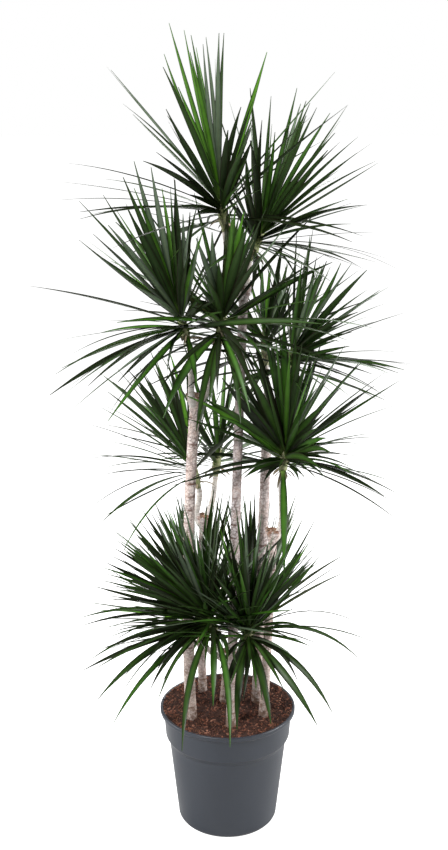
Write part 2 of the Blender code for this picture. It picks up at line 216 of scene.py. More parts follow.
def pixelRay(pixel):
    tilt, focal = photoLens()
    across = (pixel[0] - 0.5 * photoCamera["width"]) / focal
    rise = (0.5 * photoCamera["height"] - pixel[1]) / focal
    return (tilt @ Vector((across, rise, -1.0))).normalized()


def placePixel(place):
    tilt, focal = photoLens()
    seen = tilt.transposed() @ (place - Vector(photoCamera["place"]))
    x = 0.5 * photoCamera["width"] - focal * seen.x / seen.z
    return x, 0.5 * photoCamera["height"] + focal * seen.y / seen.z


# Shared shader effects
def mottleGroup():
    # soft uneven patches, from 0 to 1
    tree, entry, end = newTree("mottle", "ShaderNodeTree",
                               [("Place", "Vector"), ("Scale", "Float", 20.0), ("Detail", "Float", 4.0),
                                ("Contrast", "Float", 0.5)], [("Patches", "Float")])
    patches = addNode(tree, "ShaderNodeTexNoise", {"Vector": entry["Place"], "Scale": entry["Scale"],
                      "Detail": entry["Detail"], "Roughness": 0.6}).outputs[0]
    low = calc(tree, "SUBTRACT", 0.5,
               calc(tree, "MULTIPLY", 0.5, calc(tree, "SUBTRACT", 1.0, entry["Contrast"])))
    high = calc(tree, "SUBTRACT", 1.0, low)
    plug(tree, ramp(tree, patches, 0.0, 1.0, low, high), end.inputs["Patches"])
    return tree


def speckleGroup():
    # small round specks, 1 on a speck
    tree, entry, end = newTree("speckle", "ShaderNodeTree", [("Place", "Vector"), ("Scale", "Float", 300.0),
                               ("Size", "Float", 0.3), ("Share", "Float", 0.3)], [("Specks", "Float")])
    cells = addNode(tree, "ShaderNodeTexVoronoi", {"Vector": entry["Place"], "Scale": entry["Scale"]})
    round_ = ramp(tree, cells.outputs["Distance"], 1.0, 0.0, calc(tree, "MULTIPLY", entry["Size"], 0.5),
                  entry["Size"])
    dice = addNode(tree, "ShaderNodeSeparateColor", {"Color": cells.outputs["Color"]}).outputs["Red"]
    chosen = calc(tree, "LESS_THAN", dice, entry["Share"])
    plug(tree, calc(tree, "MULTIPLY", round_, chosen), end.inputs["Specks"])
    return tree


def veinGroup():
    # fine ribs along a blade: Across runs from -1 to 1 over its width
    tree, entry, end = newTree("veins", "ShaderNodeTree", [("Across", "Float"), ("Along", "Float"),
                               ("Count", "Float", 9.0), ("Wander", "Float", 0.15)],
                               [("Ribs", "Float"), ("Midline", "Float")])
    sway = addNode(tree, "ShaderNodeTexNoise", {"W": calc(tree, "MULTIPLY", entry["Along"], 6.0)},
                   noise_dimensions="1D").outputs[0]
    place = calc(tree, "ADD", entry["Across"], calc(tree, "MULTIPLY", entry["Wander"], sway))
    wave = calc(tree, "SINE",
                calc(tree, "MULTIPLY", place, calc(tree, "MULTIPLY", entry["Count"], math.pi)))
    plug(tree, ramp(tree, wave, 0.0, 1.0, -1.0, 1.0), end.inputs["Ribs"])
    plug(tree, ramp(tree, calc(tree, "ABSOLUTE", entry["Across"]), 1.0, 0.0, 0.05, 0.55),
         end.inputs["Midline"])
    return tree


effects = dict(mottle=mottleGroup(), speckle=speckleGroup(), veins=veinGroup())


def effect(tree, name, feeds):
    node = tree.nodes.new("ShaderNodeGroup")
    node.node_tree = effects[name]
    for label, value in feeds.items():
        plug(tree, value, node.inputs[label])
    return node.outputs


def newMaterial(name, **values):
    # values are the shader's own sockets, with spaces left out of their names
    material = bpy.data.materials.new(name)
    material.use_nodes = True
    shader = material.node_tree.nodes["Principled BSDF"]
    sockets = {socket.name.replace(" ", ""): socket for socket in shader.inputs}
    for label, value in values.items():
        sockets[label].default_value = value
    return material, material.node_tree, shader


def addBump(tree, shader, height, strength, distance):
    bump = addNode(tree, "ShaderNodeBump", {"Height": height, "Strength": strength, "Distance": distance})
    tree.links.new(bump.outputs[0], shader.inputs["Normal"])


def objectPlace(tree):
    return tree.nodes.new("ShaderNodeTexCoord").outputs["Object"]


def surfaceAttribute(tree, name, output="Fac"):
    return addNode(tree, "ShaderNodeAttribute", attribute_name=name).outputs[output]


# Pot: a thin moulded shell with a wide collar, the same sizes as the part's
pot = dict(height=0.280, rimRadius=0.155, footRadius=0.100, wall=0.0030, floor=0.0040, lipDepth=0.010,
           lipRound=0.0024, lipWidth=0.0055, collarTop=(0.1465, 0.262), collarFoot=(0.1430, 0.216),
           shoulder=(0.1338, 0.197), corner=(0.1145, 0.015), sides=160, drains=3, drainTurn=219.5,
           drainSize=(0.020, 0.012, 0.005), drainHeight=0.0075, colour=(0.021, 0.026, 0.036, 1.0),
           roughness=0.40)


def arc(centre, size, start, end, steps):
    # points of (radius, height) round a centre; size may differ across and up
    turns = [math.radians(start + (end - start) * k / steps) for k in range(steps + 1)]
    return [(centre[0] + size[0] * math.cos(a), centre[1] + size[1] * math.sin(a)) for a in turns]


def turned(profile, sides):
    # a closed shell turned about the Z axis; the profile's first and last points lie on the axis
    bm = bmesh.new()
    turns = [2 * math.pi * k / sides for k in range(sides)]
    rings = [[bm.verts.new((r * math.cos(a), r * math.sin(a), h)) for a in turns] for r, h in profile[1:-1]]
    for low, high in zip(rings, rings[1:]):
        for k in range(sides):
            after = (k + 1) % sides
            bm.faces.new((low[k], low[after], high[after], high[k]))
    for ring, (radius, height) in ((rings[0], profile[0]), (rings[-1], profile[-1])):
        middle = bm.verts.new((0.0, 0.0, height))
        for k in range(sides):
            bm.faces.new((ring[k], ring[(k + 1) % sides], middle))
    bmesh.ops.recalc_face_normals(bm, faces=bm.faces)
    return bm


def potProfile():
    p = pot
    turnIn = 0.004  # the radius where the collar's foot turns in under the step
    corner = arc((p["footRadius"], p["corner"][1]), (p["corner"][0] - p["footRadius"], p["corner"][1]),
                 -90, 0, 9)
    shoulder = [(p["shoulder"][0] - 0.0006, p["shoulder"][1] - 0.010), p["shoulder"]]
    fillet = arc((p["shoulder"][0] + 0.0035, p["shoulder"][1] + 0.002), (0.0030, 0.0035), 180, 120, 4)
    step = arc((p["collarFoot"][0] - turnIn, p["collarFoot"][1] - 0.001), (turnIn, turnIn), -50, 0, 5)
    lipFoot = arc((p["collarTop"][0] + 0.0035, p["collarTop"][1]), (0.0035, 0.005), 180, 110, 5)
    top = (p["rimRadius"] - p["lipRound"], p["height"] - p["lipRound"])
    lowLip = (p["rimRadius"] - p["lipRound"], p["height"] - 0.75 * p["lipDepth"])
    lip = arc(lowLip, (p["lipRound"], p["lipRound"]), -70, 0,
              5) + arc(top, (p["lipRound"], p["lipRound"]), 0, 90, 6)
    inner = p["collarTop"][0] - p["wall"]
    inside = [(p["rimRadius"] - p["lipWidth"], p["height"] - 0.0006),
              (inner + 0.002, p["height"] - 0.0030), (inner, p["height"] - p["lipWidth"]),
              (inner, p["collarTop"][1] - p["wall"]),
              (p["collarFoot"][0] - p["wall"], p["collarFoot"][1]),
              (p["shoulder"][0] - p["wall"], p["shoulder"][1]),
              (p["corner"][0] - p["wall"], p["corner"][1]), (p["footRadius"] + p["floor"], p["floor"])]
    return [(0.0, 0.0)] + corner + shoulder + fillet + step + lipFoot + lip + inside + [(0.0, p["floor"])]


def drainCutter():
    bm = bmesh.new()
    for k in range(pot["drains"]):
        made = bmesh.ops.create_cube(bm, size=1.0)["verts"]
        bmesh.ops.scale(bm, verts=made, vec=pot["drainSize"])
        bmesh.ops.translate(bm, verts=made, vec=(pot["corner"][0], 0.0, pot["drainHeight"]))
        turn = math.radians(pot["drainTurn"] + 360.0 * k / pot["drains"])
        bmesh.ops.rotate(bm, verts=made, cent=(0, 0, 0), matrix=Matrix.Rotation(turn, 3, "Z"))
    return addObject("drainCutter", finishMesh("drainCutter", bm))


def potMaterial():
    material, tree, shader = newMaterial("satinPotPlastic", SpecularIORLevel=0.5)
    place = objectPlace(tree)
    height = heightOf(tree, place)
    patches = effect(tree, "mottle", {"Place": place, "Scale": 9.0, "Contrast": 0.3})["Patches"]
    # faint upright flow marks of the moulding
    flow = vectorCalc(tree, "MULTIPLY", place, (60.0, 60.0, 4.0))
    streaks = effect(tree, "mottle", {"Place": flow, "Scale": 1.0, "Contrast": 0.2})["Patches"]
    dark = shaded(pot["colour"], 0.90)
    light = shaded(pot["colour"], 1.12)
    base = mixColour(tree, patches, dark, light)
    base = overlay(tree, base, streaks, 0.25, light)
    dust = ramp(tree, height, 0.0, 0.5, 0.255, 0.280)  # a little soil dust on the lip
    grit = effect(tree, "speckle", {"Place": place, "Scale": 420.0, "Size": 0.34, "Share": 0.25})["Specks"]
    base = overlay(tree, base, dust, grit, (0.16, 0.11, 0.085, 1.0))
    tree.links.new(base, shader.inputs["Base Color"])
    rough = calc(tree, "ADD", pot["roughness"] - 0.05, calc(tree, "MULTIPLY", patches, 0.10))
    tree.links.new(rough, shader.inputs["Roughness"])
    peel = noiseAt(tree, place, 900.0, 2.0)
    addBump(tree, shader, calc(tree, "ADD", peel, calc(tree, "MULTIPLY", streaks, 0.6)), 0.25, 0.0004)
    return material


def makePot():
    shell = addObject("pot_shell", finishMesh("pot_shell", turned(potProfile(), pot["sides"])))
    cutter = drainCutter()
    cut = shell.modifiers.new("drains", "BOOLEAN")
    cut.operation = "DIFFERENCE"
    cut.object = cutter
    graph = bpy.context.evaluated_depsgraph_get()
    shell.data = bpy.data.meshes.new_from_object(shell.evaluated_get(graph), depsgraph=graph)
    shell.modifiers.clear()
    bpy.data.objects.remove(cutter, do_unlink=True)
    shell.data.materials.clear()
    shell.data.materials.append(potMaterial())
    shell.data.shade_smooth()
    shell.data.set_sharp_from_angle(angle=math.radians(32))
    settle(shell, "pot_plastic", "pot")
    print("pot:", len(shell.data.polygons), "faces")


# Soil: a slightly domed bed, covered with bark chips, crumbs and fibres
soil = dict(top=0.276, radius=0.1490, dome=0.0040, bank=0.0037, roughness=0.0034, clods=0.0050,
            mound=0.0050, grit=0.0045, moundWidth=0.020,
            wall=((0.1430, 0.2735), (0.1430, 0.2590), (0.1396, 0.2155), (0.1304, 0.1970),
                  (0.1111, 0.0150), (0.1035, 0.0045)), rings=64, sides=200, crumbDensity=42000.0,
            crumbGap=0.0023, crumbSize=(0.0012, 0.0050), fibreShare=0.10, seed=7)


def soilHeight(x, y):
    share = math.hypot(x, y) / soil["radius"]
    lumps = noise.fractal(Vector((x, y, 0.3)) * 55.0, 0.8, 2.1, 4) * soil["roughness"]
    lumps += noise.noise(Vector((x, y, 0.9)) * 26.0) * soil["clods"]
    for cane in canes.values():  # the soil is pushed up a little round each cane
        apart = math.hypot(x - cane["foot"][0], y - cane["foot"][1]) / soil["moundWidth"]
        crumbly = 1.0 + soil["grit"] / soil["mound"] * noise.noise(Vector((x, y, 0.5)) * 170.0)
        lumps += soil["mound"] * math.exp(-apart * apart) * crumbly
    lumps = lumps * (1.0 - share ** 6) + soil["bank"] * share ** 10  # heaped up against the lip
    return soil["top"] + soil["dome"] * (1.0 - share * share) + lumps - 0.0006


def soilSurface(rings):
    # the top of the bed, as rings from the middle out
    bm = bmesh.new()
    sides = soil["sides"]
    middle = bm.verts.new((0.0, 0.0, soilHeight(0.0, 0.0)))
    last = None
    for ring in range(1, rings + 1):
        radius = soil["radius"] * ring / rings
        turns = [2 * math.pi * k / sides for k in range(sides)]
        edge = [(radius * math.cos(a), radius * math.sin(a)) for a in turns]
        row = [bm.verts.new((x, y, soilHeight(x, y))) for x, y in edge]
        for k in range(sides):
            after = (k + 1) % sides
            bm.faces.new((last[k], row[k], row[after], last[after]) if last else (middle, row[k],
                                                                                  row[after]))
        last = row
    return bm, last


def soilMaterial(name, dark, light, scale=260.0):
    material, tree, shader = newMaterial(name, Roughness=0.92, SpecularIORLevel=0.25)
    place = objectPlace(tree)
    patches = effect(tree, "mottle", {"Place": place, "Scale": scale, "Contrast": 0.7})["Patches"]
    grain = effect(tree, "speckle", {"Place": place, "Scale": 3.0 * scale, "Size": 0.5,
                                     "Share": 0.35})["Specks"]
    base = mixColour(tree, patches, dark, light)
    base = overlay(tree, base, grain, 0.5, shaded(dark, 0.4))
    # dark patches of painted shade laid at random into the soil's colour
    paintedShadePatches = effect(tree, "mottle", {"Place": place, "Scale": 34.0, "Contrast": 0.8})["Patches"]
    base = mixColour(tree, ramp(tree, paintedShadePatches, 0.38, 0.0, 0.10, 0.55), base, shaded(dark, 0.3))
    tree.links.new(base, shader.inputs["Base Color"])
    rough = noiseAt(tree, place, 5.0 * scale, 3.0)
    addBump(tree, shader, rough, 0.6, 0.0008)
    return material


def crumbTree():
    # crumbs and fibres strewn over a surface, each turned, squashed and sized by chance
    inputs = [("Geometry", "Geometry"), ("Density", "Float", 50000.0), ("Gap", "Float", 0.002),
              ("Smallest", "Float", 0.001), ("Largest", "Float", 0.003), ("Fibre Share", "Float", 0.1),
              ("Seed", "Int", 1), ("Peat", "Material"), ("Bark", "Material"),
              ("Pale Chip", "Material"), ("Fibre", "Material")]
    tree, entry, end = newTree("strewnCrumbs", "GeometryNodeTree", inputs, [("Geometry", "Geometry")])

    def chance(low, high, seed, kind="FLOAT"):
        node = addNode(tree, "FunctionNodeRandomValue", data_type=kind)
        names = {"FLOAT": ("Min_001", "Max_001", 1), "FLOAT_VECTOR": ("Min", "Max", 0)}[kind]
        for socket in node.inputs:
            if socket.identifier == names[0]:
                plug(tree, low, socket)
            if socket.identifier == names[1]:
                plug(tree, high, socket)
            if socket.name == "Seed":
                plug(tree, calc(tree, "ADD", entry["Seed"], seed), socket)
        return node.outputs[names[2]]

    points = addNode(tree, "GeometryNodeDistributePointsOnFaces",
                     {"Mesh": entry["Geometry"], "Seed": entry["Seed"], "Distance Min": entry["Gap"],
                      "Density Max": entry["Density"]}, distribute_method="POISSON")
    tone = chance(0.0, 1.0, 11)
    marked = storeAttribute(tree, points.outputs["Points"], "tone", tone)
    isFibre = calc(tree, "LESS_THAN", readAttribute(tree, "tone"), entry["Fibre Share"])
    size = calc(tree, "ADD", entry["Smallest"],
                calc(tree, "MULTIPLY", calc(tree, "SUBTRACT", entry["Largest"], entry["Smallest"]),
                     calc(tree, "POWER", chance(0.0, 1.0, 12), 2.2)))
    squash = chance((1.0, 0.42, 0.22), (1.9, 0.85, 0.55), 13, "FLOAT_VECTOR")
    thread = (3.6, 0.14, 0.14)
    shape = addNode(tree, "ShaderNodeMix", data_type="VECTOR")
    plug(tree, isFibre, shape.inputs[0])
    plug(tree, squash, shape.inputs[4])
    plug(tree, thread, shape.inputs[5])
    scale = stretched(tree, shape.outputs[1], size)
    spin = chance((-0.7, -0.7, 0.0), (0.7, 0.7, 6.2832), 14, "FLOAT_VECTOR")
    crumb = addNode(tree, "GeometryNodeMeshIcoSphere", {"Radius": 1.0, "Subdivisions": 1}).outputs["Mesh"]
    strewn = addNode(tree, "GeometryNodeInstanceOnPoints",
                     {"Points": marked, "Instance": crumb, "Rotation": spin, "Scale": scale}).outputs[0]
    real = addNode(tree, "GeometryNodeRealizeInstances", {"Geometry": strewn}).outputs[0]
    where = tree.nodes.new("GeometryNodeInputPosition").outputs[0]
    lumps = addNode(tree, "ShaderNodeTexNoise", {"Vector": where, "Scale": 700.0},
                    noise_dimensions="3D").outputs["Color"]
    push = vectorCalc(tree, "MULTIPLY", vectorCalc(tree, "SUBTRACT", lumps, (0.5, 0.5, 0.5)),
                      (0.0016, 0.0016, 0.0010))
    real = addNode(tree, "GeometryNodeSetPosition", {"Geometry": real, "Offset": push}).outputs[0]
    toneNow = readAttribute(tree, "tone")
    real = setMaterial(tree, real, entry["Peat"])
    real = setMaterial(tree, real, entry["Bark"], calc(tree, "GREATER_THAN", toneNow, 0.45))
    real = setMaterial(tree, real, entry["Pale Chip"], calc(tree, "GREATER_THAN", toneNow, 0.89))
    real = setMaterial(tree, real, entry["Fibre"], calc(tree, "LESS_THAN", toneNow, entry["Fibre Share"]))
    plug(tree, real, end.inputs["Geometry"])
    return tree


def makeSoil():
    bm, edge = soilSurface(soil["rings"])
    for radius, height in soil["wall"]:
        low = [bm.verts.new((radius * v.co.x / edge[k].co.xy.length,
                             radius * v.co.y / edge[k].co.xy.length, height)) for k, v in enumerate(edge)]
        for k in range(len(edge)):
            after = (k + 1) % len(edge)
            bm.faces.new((edge[k], low[k], low[after], edge[after]))
        edge = low
    bm.faces.new(edge)
    bmesh.ops.recalc_face_normals(bm, faces=bm.faces)
    mesh = finishMesh("soil_bed", bm)
    mesh.shade_smooth()
    bed = addObject("soil_bed", mesh)
    mesh.materials.append(soilMaterial("peat", (0.016, 0.007, 0.005, 1.0), (0.060, 0.024, 0.015, 1.0)))
    settle(bed, "potting_soil", "soil")

    bm, edge = soilSurface(12)
    cover = finishMesh("soilCover", bm)
    crumbs = growPiece("soil_crumbs", addObject("soilCover", cover), crumbTree(), {
        "Density": soil["crumbDensity"], "Gap": soil["crumbGap"], "Smallest": soil["crumbSize"][0],
        "Largest": soil["crumbSize"][1], "Fibre Share": soil["fibreShare"], "Seed": soil["seed"],
        "Peat": soilMaterial("darkCrumb", (0.018, 0.008, 0.006, 1.0), (0.080, 0.031, 0.020, 1.0)),
        "Bark": soilMaterial("redBarkChip", (0.075, 0.027, 0.017, 1.0), (0.220, 0.085, 0.050, 1.0)),
        "Pale Chip": soilMaterial("paleBarkChip", (0.170, 0.072, 0.046, 1.0), (0.330, 0.160, 0.105, 1.0)),
        "Fibre": soilMaterial("peatFibre", (0.130, 0.055, 0.028, 1.0), (0.240, 0.115, 0.060, 1.0))})
    settle(crumbs, "potting_soil")
    print("soil:", len(crumbs.data.polygons), "faces of crumbs")


# Canes: foot and waist are places along the axis, top is the middle of the cut, tone shades the bark
canes = {
    "cane_front_left": dict(foot=(-0.082, -0.065), waist=(-0.086, -0.062, 0.66),
                            top=(-0.067, -0.050, 1.033), radius=0.0128, tone=(0.98, 0.98, 0.99)),
    "cane_back_left": dict(foot=(-0.058, 0.062), waist=(-0.061, 0.070, 0.51), top=(-0.054, 0.070, 0.722),
                           radius=0.0100, tone=(0.88, 0.89, 0.92)),
    "cane_front": dict(foot=(0.007, -0.096), waist=(0.018, -0.070, 0.80), top=(0.033, -0.030, 1.260),
                       radius=0.0110, tone=(0.70, 0.72, 0.76)),
    "cane_low": dict(foot=(-0.009, 0.010), waist=(-0.004, 0.004, 0.35), top=(0.003, 0.000, 0.420),
                     radius=0.0095, tone=(0.80, 0.80, 0.80)),
    "cane_right": dict(foot=(0.080, -0.056), waist=(0.091, -0.050, 0.513), top=(0.099, -0.030, 0.725),
                       radius=0.0105, tone=(0.90, 0.90, 0.92)),
    "cane_back_right": dict(foot=(0.068, 0.010), waist=(0.077, 0.030, 0.624), top=(0.089, 0.060, 0.977),
                            radius=0.0125, tone=(0.86, 0.88, 0.92)),
}
caneShape = dict(soilTop=0.276, taper=0.12, flare=0.12, flareHeight=0.020, knuckle=0.75,
                 knuckleHeight=0.045, step=0.0017, edgeRound=0.0016, callusHeight=0.030, sides=40)
shootShape = dict(radius=0.0068, tipRadius=0.0060, outward=0.8, upward=0.6, firstBend=(0.45, 0.050),
                  lastBend=(0.40, 0.100), step=0.0017, sides=28, collar=0.45, collarLength=0.010)
neckShape = dict(below=0.040, above=0.042, clearance=0.0003, step=0.0017, sides=24,
                 radii=((-1.0, 0.0060), (-0.75, 0.0069), (-0.45, 0.0100), (0.45, 0.0090), (1.0, 0.0035)))

# relief of the bark, and its pale, warm, brown and grey tones
caneRelief = {"Scar Width": 0.0105, "Scar Height": 0.0062, "Groove Depth": 0.0006, "Groove Width": 0.17,
              "Lump Depth": 0.0016, "Knob Depth": 0.0190, "Ring Pitch": 0.029, "Ring Depth": -0.0002}
shootRelief = {"Scar Width": 0.030, "Scar Height": 0.009, "Groove Depth": 0.0003, "Groove Width": 0.10,
               "Lump Depth": 0.0006, "Ring Pitch": 0.0105, "Ring Depth": 0.0004}
neckRelief = {"Scar Width": 0.020, "Scar Height": 0.004, "Groove Depth": 0.0006, "Groove Width": 0.2,
              "Lump Depth": 0.0006, "Ring Pitch": 0.0042, "Ring Depth": 0.0005}
barkShades = dict(
    cane=((0.900, 0.790, 0.735, 1.0), (0.780, 0.610, 0.530, 1.0), (0.200, 0.100, 0.070, 1.0),
          (0.850, 0.810, 0.800, 1.0)),
    shoot=((0.740, 0.700, 0.660, 1.0), (0.600, 0.540, 0.480, 1.0), (0.260, 0.190, 0.140, 1.0),
           (0.700, 0.700, 0.690, 1.0)),
    neck=((0.380, 0.400, 0.220, 1.0), (0.260, 0.320, 0.120, 1.0), (0.160, 0.120, 0.060, 1.0),
          (0.430, 0.440, 0.320, 1.0)))


def barkTree():
    # a round limb along each line, with leaf scars in low relief and flat sawn ends
    inputs = [("Geometry", "Geometry"), ("Sides", "Int", 32), ("Scar Width", "Float", 0.010),
              ("Scar Height", "Float", 0.005), ("Groove Depth", "Float", 0.0005),
              ("Groove Width", "Float", 0.08), ("Lump Depth", "Float", 0.0006),
              ("Knob Depth", "Float", 0.0), ("Ring Pitch", "Float", 0.0), ("Ring Depth", "Float", 0.0),
              ("Bark", "Material"), ("Cut Wood", "Material")]
    tree, entry, end = newTree("scarredBark", "GeometryNodeTree", inputs, [("Geometry", "Geometry")])
    rail = addNode(tree, "GeometryNodeMeshToCurve", {"Mesh": entry["Geometry"]}).outputs[0]
    distance = tree.nodes.new("GeometryNodeSplineParameter").outputs["Length"]
    rail = storeAttribute(tree, rail, "reach", distance)
    circle = addNode(tree, "GeometryNodeCurvePrimitiveCircle",
                     {"Resolution": entry["Sides"], "Radius": 1.0}).outputs[0]
    where = tree.nodes.new("GeometryNodeInputPosition").outputs[0]
    circle = storeAttribute(tree, circle, "round", where, "FLOAT_VECTOR")
    body = addNode(tree, "GeometryNodeCurveToMesh", {"Curve": rail, "Profile Curve": circle,
                   "Scale": readAttribute(tree, "limbRadius"), "Fill Caps": True}).outputs[0]
    around = stretched(tree, readAttribute(tree, "round", "FLOAT_VECTOR"),
                       readAttribute(tree, "limbRadius"))
    lift = addNode(tree, "ShaderNodeCombineXYZ", {"Z": readAttribute(tree, "reach")}).outputs[0]
    offset = addNode(tree, "ShaderNodeCombineXYZ", {"Y": readAttribute(tree, "limbSeed")}).outputs[0]
    barkPlace = vectorCalc(tree, "ADD", vectorCalc(tree, "ADD", around, lift), offset)
    body = storeAttribute(tree, body, "barkPlace", barkPlace, "FLOAT_VECTOR")

    place = readAttribute(tree, "barkPlace", "FLOAT_VECTOR")
    wobble = addNode(tree, "ShaderNodeTexNoise",
                     {"Vector": place, "Scale": 160.0, "Detail": 2.0}).outputs["Color"]
    wobble = vectorCalc(tree, "MULTIPLY", vectorCalc(tree, "SUBTRACT", wobble, (0.5, 0.5, 0.5)),
                        (0.004, 0.004, 0.004))
    cell = addNode(tree, "ShaderNodeCombineXYZ", {"X": calc(tree, "DIVIDE", 1.0, entry["Scar Width"]),
                   "Y": calc(tree, "DIVIDE", 1.0, entry["Scar Width"]),
                   "Z": calc(tree, "DIVIDE", 1.0, entry["Scar Height"])}).outputs[0]
    scarPlace = vectorCalc(tree, "MULTIPLY", vectorCalc(tree, "ADD", place, wobble), cell)
    cells = addNode(tree, "ShaderNodeTexVoronoi", {"Vector": scarPlace, "Scale": 1.0},
                    feature="DISTANCE_TO_EDGE")
    edge = cells.outputs["Distance"]
    groove = ramp(tree, edge, 1.0, 0.0, 0.0, entry["Groove Width"])
    body = storeAttribute(tree, body, "scar", groove)
    lumps = noiseAt(tree, place, 110.0, 4.0)
    ringPlace = heightOf(tree, vectorCalc(tree, "ADD", place, wobble))
    turns = calc(tree, "DIVIDE", ringPlace, entry["Ring Pitch"])
    rings = calc(tree, "SINE", calc(tree, "MULTIPLY", 2 * math.pi, turns))
    ringLine = ramp(tree, rings, 0.0, 1.0, 0.86, 0.98)
    body = storeAttribute(tree, body, "ring", ringLine)
    raised = calc(tree, "MULTIPLY", calc(tree, "SUBTRACT", lumps, 0.5), entry["Lump Depth"])
    raised = calc(tree, "SUBTRACT", raised, calc(tree, "MULTIPLY", readAttribute(tree, "scar"),
                                                 entry["Groove Depth"]))
    raised = calc(tree, "ADD", raised, calc(tree, "MULTIPLY", readAttribute(tree, "ring"),
                                            entry["Ring Depth"]))
    callus = readAttribute(tree, "callus")
    knobs = noiseAt(tree, place, 190.0, 2.0)
    knobs = calc(tree, "MULTIPLY", calc(tree, "SUBTRACT", knobs, 0.47), entry["Knob Depth"])
    raised = calc(tree, "ADD", raised, calc(tree, "MULTIPLY", callus, knobs))
    normal = tree.nodes.new("GeometryNodeInputNormal").outputs[0]
    push = stretched(tree, normal, raised)
    atEnd = calc(tree, "POWER", callus, 12.0)
    chips = noiseAt(tree, place, 260.0, 1.0)
    chips = calc(tree, "MULTIPLY", calc(tree, "MULTIPLY", atEnd, chips),
                 calc(tree, "MULTIPLY", -0.8, entry["Knob Depth"]))
    push = vectorCalc(tree, "ADD", push, addNode(tree, "ShaderNodeCombineXYZ", {"Z": chips}).outputs[0])
    body = addNode(tree, "GeometryNodeSetPosition", {"Geometry": body, "Offset": push}).outputs[0]
    corners = tree.nodes.new("GeometryNodeInputMeshFaceNeighbors").outputs["Vertex Count"]
    isCap = calc(tree, "GREATER_THAN", corners, 4.5)
    feeds = {"Geometry": body, "Shade Smooth": calc(tree, "SUBTRACT", 1.0, isCap)}
    body = addNode(tree, "GeometryNodeSetShadeSmooth", feeds).outputs[0]
    body = addNode(tree, "GeometryNodeRealizeInstances", {"Geometry": body}).outputs[0]
    body = setMaterial(tree, body, entry["Bark"])
    plug(tree, setMaterial(tree, body, entry["Cut Wood"], isCap), end.inputs["Geometry"])
    return tree


def barkMaterial(name, colours, scar, speckShare, roughness=0.82, footStainAndShade=0.0):
    # pale bark: patches of two tones, brown scar lines and specks, a grey film, and a foot darkened by soil
    # stain and painted shade
    material, tree, shader = newMaterial(name, SpecularIORLevel=0.3)
    place = surfaceAttribute(tree, "barkPlace", "Vector")
    pale, warm, brown, grey = colours
    patches = effect(tree, "mottle", {"Place": place, "Scale": 95.0, "Contrast": 0.75})["Patches"]
    film = effect(tree, "mottle", {"Place": place, "Scale": 28.0, "Contrast": 0.6})["Patches"]
    fine = effect(tree, "mottle", {"Place": place, "Scale": 420.0, "Contrast": 0.7})["Patches"]
    base = mixColour(tree, patches, pale, warm)
    base = overlay(tree, base, film, 0.45, grey)
    base = overlay(tree, base, fine, 0.22, brown)
    specks = effect(tree, "speckle", {"Place": vectorCalc(tree, "MULTIPLY", place, (1.0, 1.0, 1.7)),
                                      "Scale": 330.0, "Size": 0.42, "Share": speckShare})["Specks"]
    base = overlay(tree, base, specks, 0.75, brown)
    lines = calc(tree, "MULTIPLY", surfaceAttribute(tree, "scar"), scar)
    lines = calc(tree, "MULTIPLY", lines, calc(tree, "ADD", 0.35, calc(tree, "MULTIPLY", film, 0.65)))
    base = mixColour(tree, lines, base, shaded(brown, 0.55))
    rings = calc(tree, "MULTIPLY", surfaceAttribute(tree, "ring"), ramp(tree, film, 0.08, 1.0, 0.30, 0.90))
    base = mixColour(tree, rings, base, shaded(brown, 0.75))
    ragged = calc(tree, "MULTIPLY", surfaceAttribute(tree, "callus"), calc(tree, "ADD", 0.25, patches))
    base = mixColour(tree, ramp(tree, ragged, 0.0, 0.90, 0.25, 0.85), base, (0.330, 0.175, 0.105, 1.0))
    torn = calc(tree, "MULTIPLY", ramp(tree, ragged, 0.0, 0.8, 0.45, 1.0), fine)
    base = mixColour(tree, torn, base, (0.090, 0.040, 0.025, 1.0))
    # towards the foot: a dark soil stain at the soil line, then patchy browning of painted shade up to about
    # 0.30 m along the limb
    foot = heightOf(tree, place)
    foot = calc(tree, "SUBTRACT", foot, calc(tree, "MULTIPLY", patches, 0.030))
    base = mixColour(tree, ramp(tree, foot, footStainAndShade, 0.0, -0.010, 0.022), base, (0.090, 0.045, 0.030, 1.0))
    patchy = calc(tree, "ADD", 0.20, calc(tree, "MULTIPLY", film, 0.45))
    base = overlay(tree, base, ramp(tree, foot, footStainAndShade, 0.0, 0.02, 0.30), patchy, (0.230, 0.150, 0.100, 1.0))
    tree.links.new(base, shader.inputs["Base Color"])
    tree.links.new(calc(tree, "ADD", roughness - 0.08, calc(tree, "MULTIPLY", fine, 0.16)),
                   shader.inputs["Roughness"])
    addBump(tree, shader, calc(tree, "SUBTRACT", fine, calc(tree, "MULTIPLY", specks, 0.6)), 0.5, 0.0006)
    return material


def cutMaterial():
    # sawn end: orange brown wood with a darker rind
    material, tree, shader = newMaterial("sawnEnd", Roughness=0.8, SpecularIORLevel=0.3)
    place = objectPlace(tree)
    patches = effect(tree, "mottle", {"Place": place, "Scale": 160.0, "Contrast": 0.7})["Patches"]
    pores = effect(tree, "speckle", {"Place": place, "Scale": 900.0, "Size": 0.45, "Share": 0.5})["Specks"]
    base = mixColour(tree, patches, (0.160, 0.080, 0.048, 1.0), (0.360, 0.220, 0.140, 1.0))
    base = overlay(tree, base, pores, 0.6, (0.110, 0.045, 0.025, 1.0))
    tree.links.new(base, shader.inputs["Base Color"])
    addBump(tree, shader, calc(tree, "SUBTRACT", patches, pores), 0.4, 0.0005)
    return material


def caneAxis(cane, height):
    # the parabola through its foot, waist and top
    foot, waist, top = (*cane["foot"], caneShape["soilTop"]), cane["waist"], cane["top"]
    shares = []
    for here, one, two in ((foot, waist, top), (waist, foot, top), (top, foot, waist)):
        shares.append((height - one[2]) * (height - two[2]) / ((here[2] - one[2]) * (here[2] - two[2])))
    x, y = (sum(s * p[k] for s, p in zip(shares, (foot, waist, top))) for k in (0, 1))
    return Vector((x, y, height))


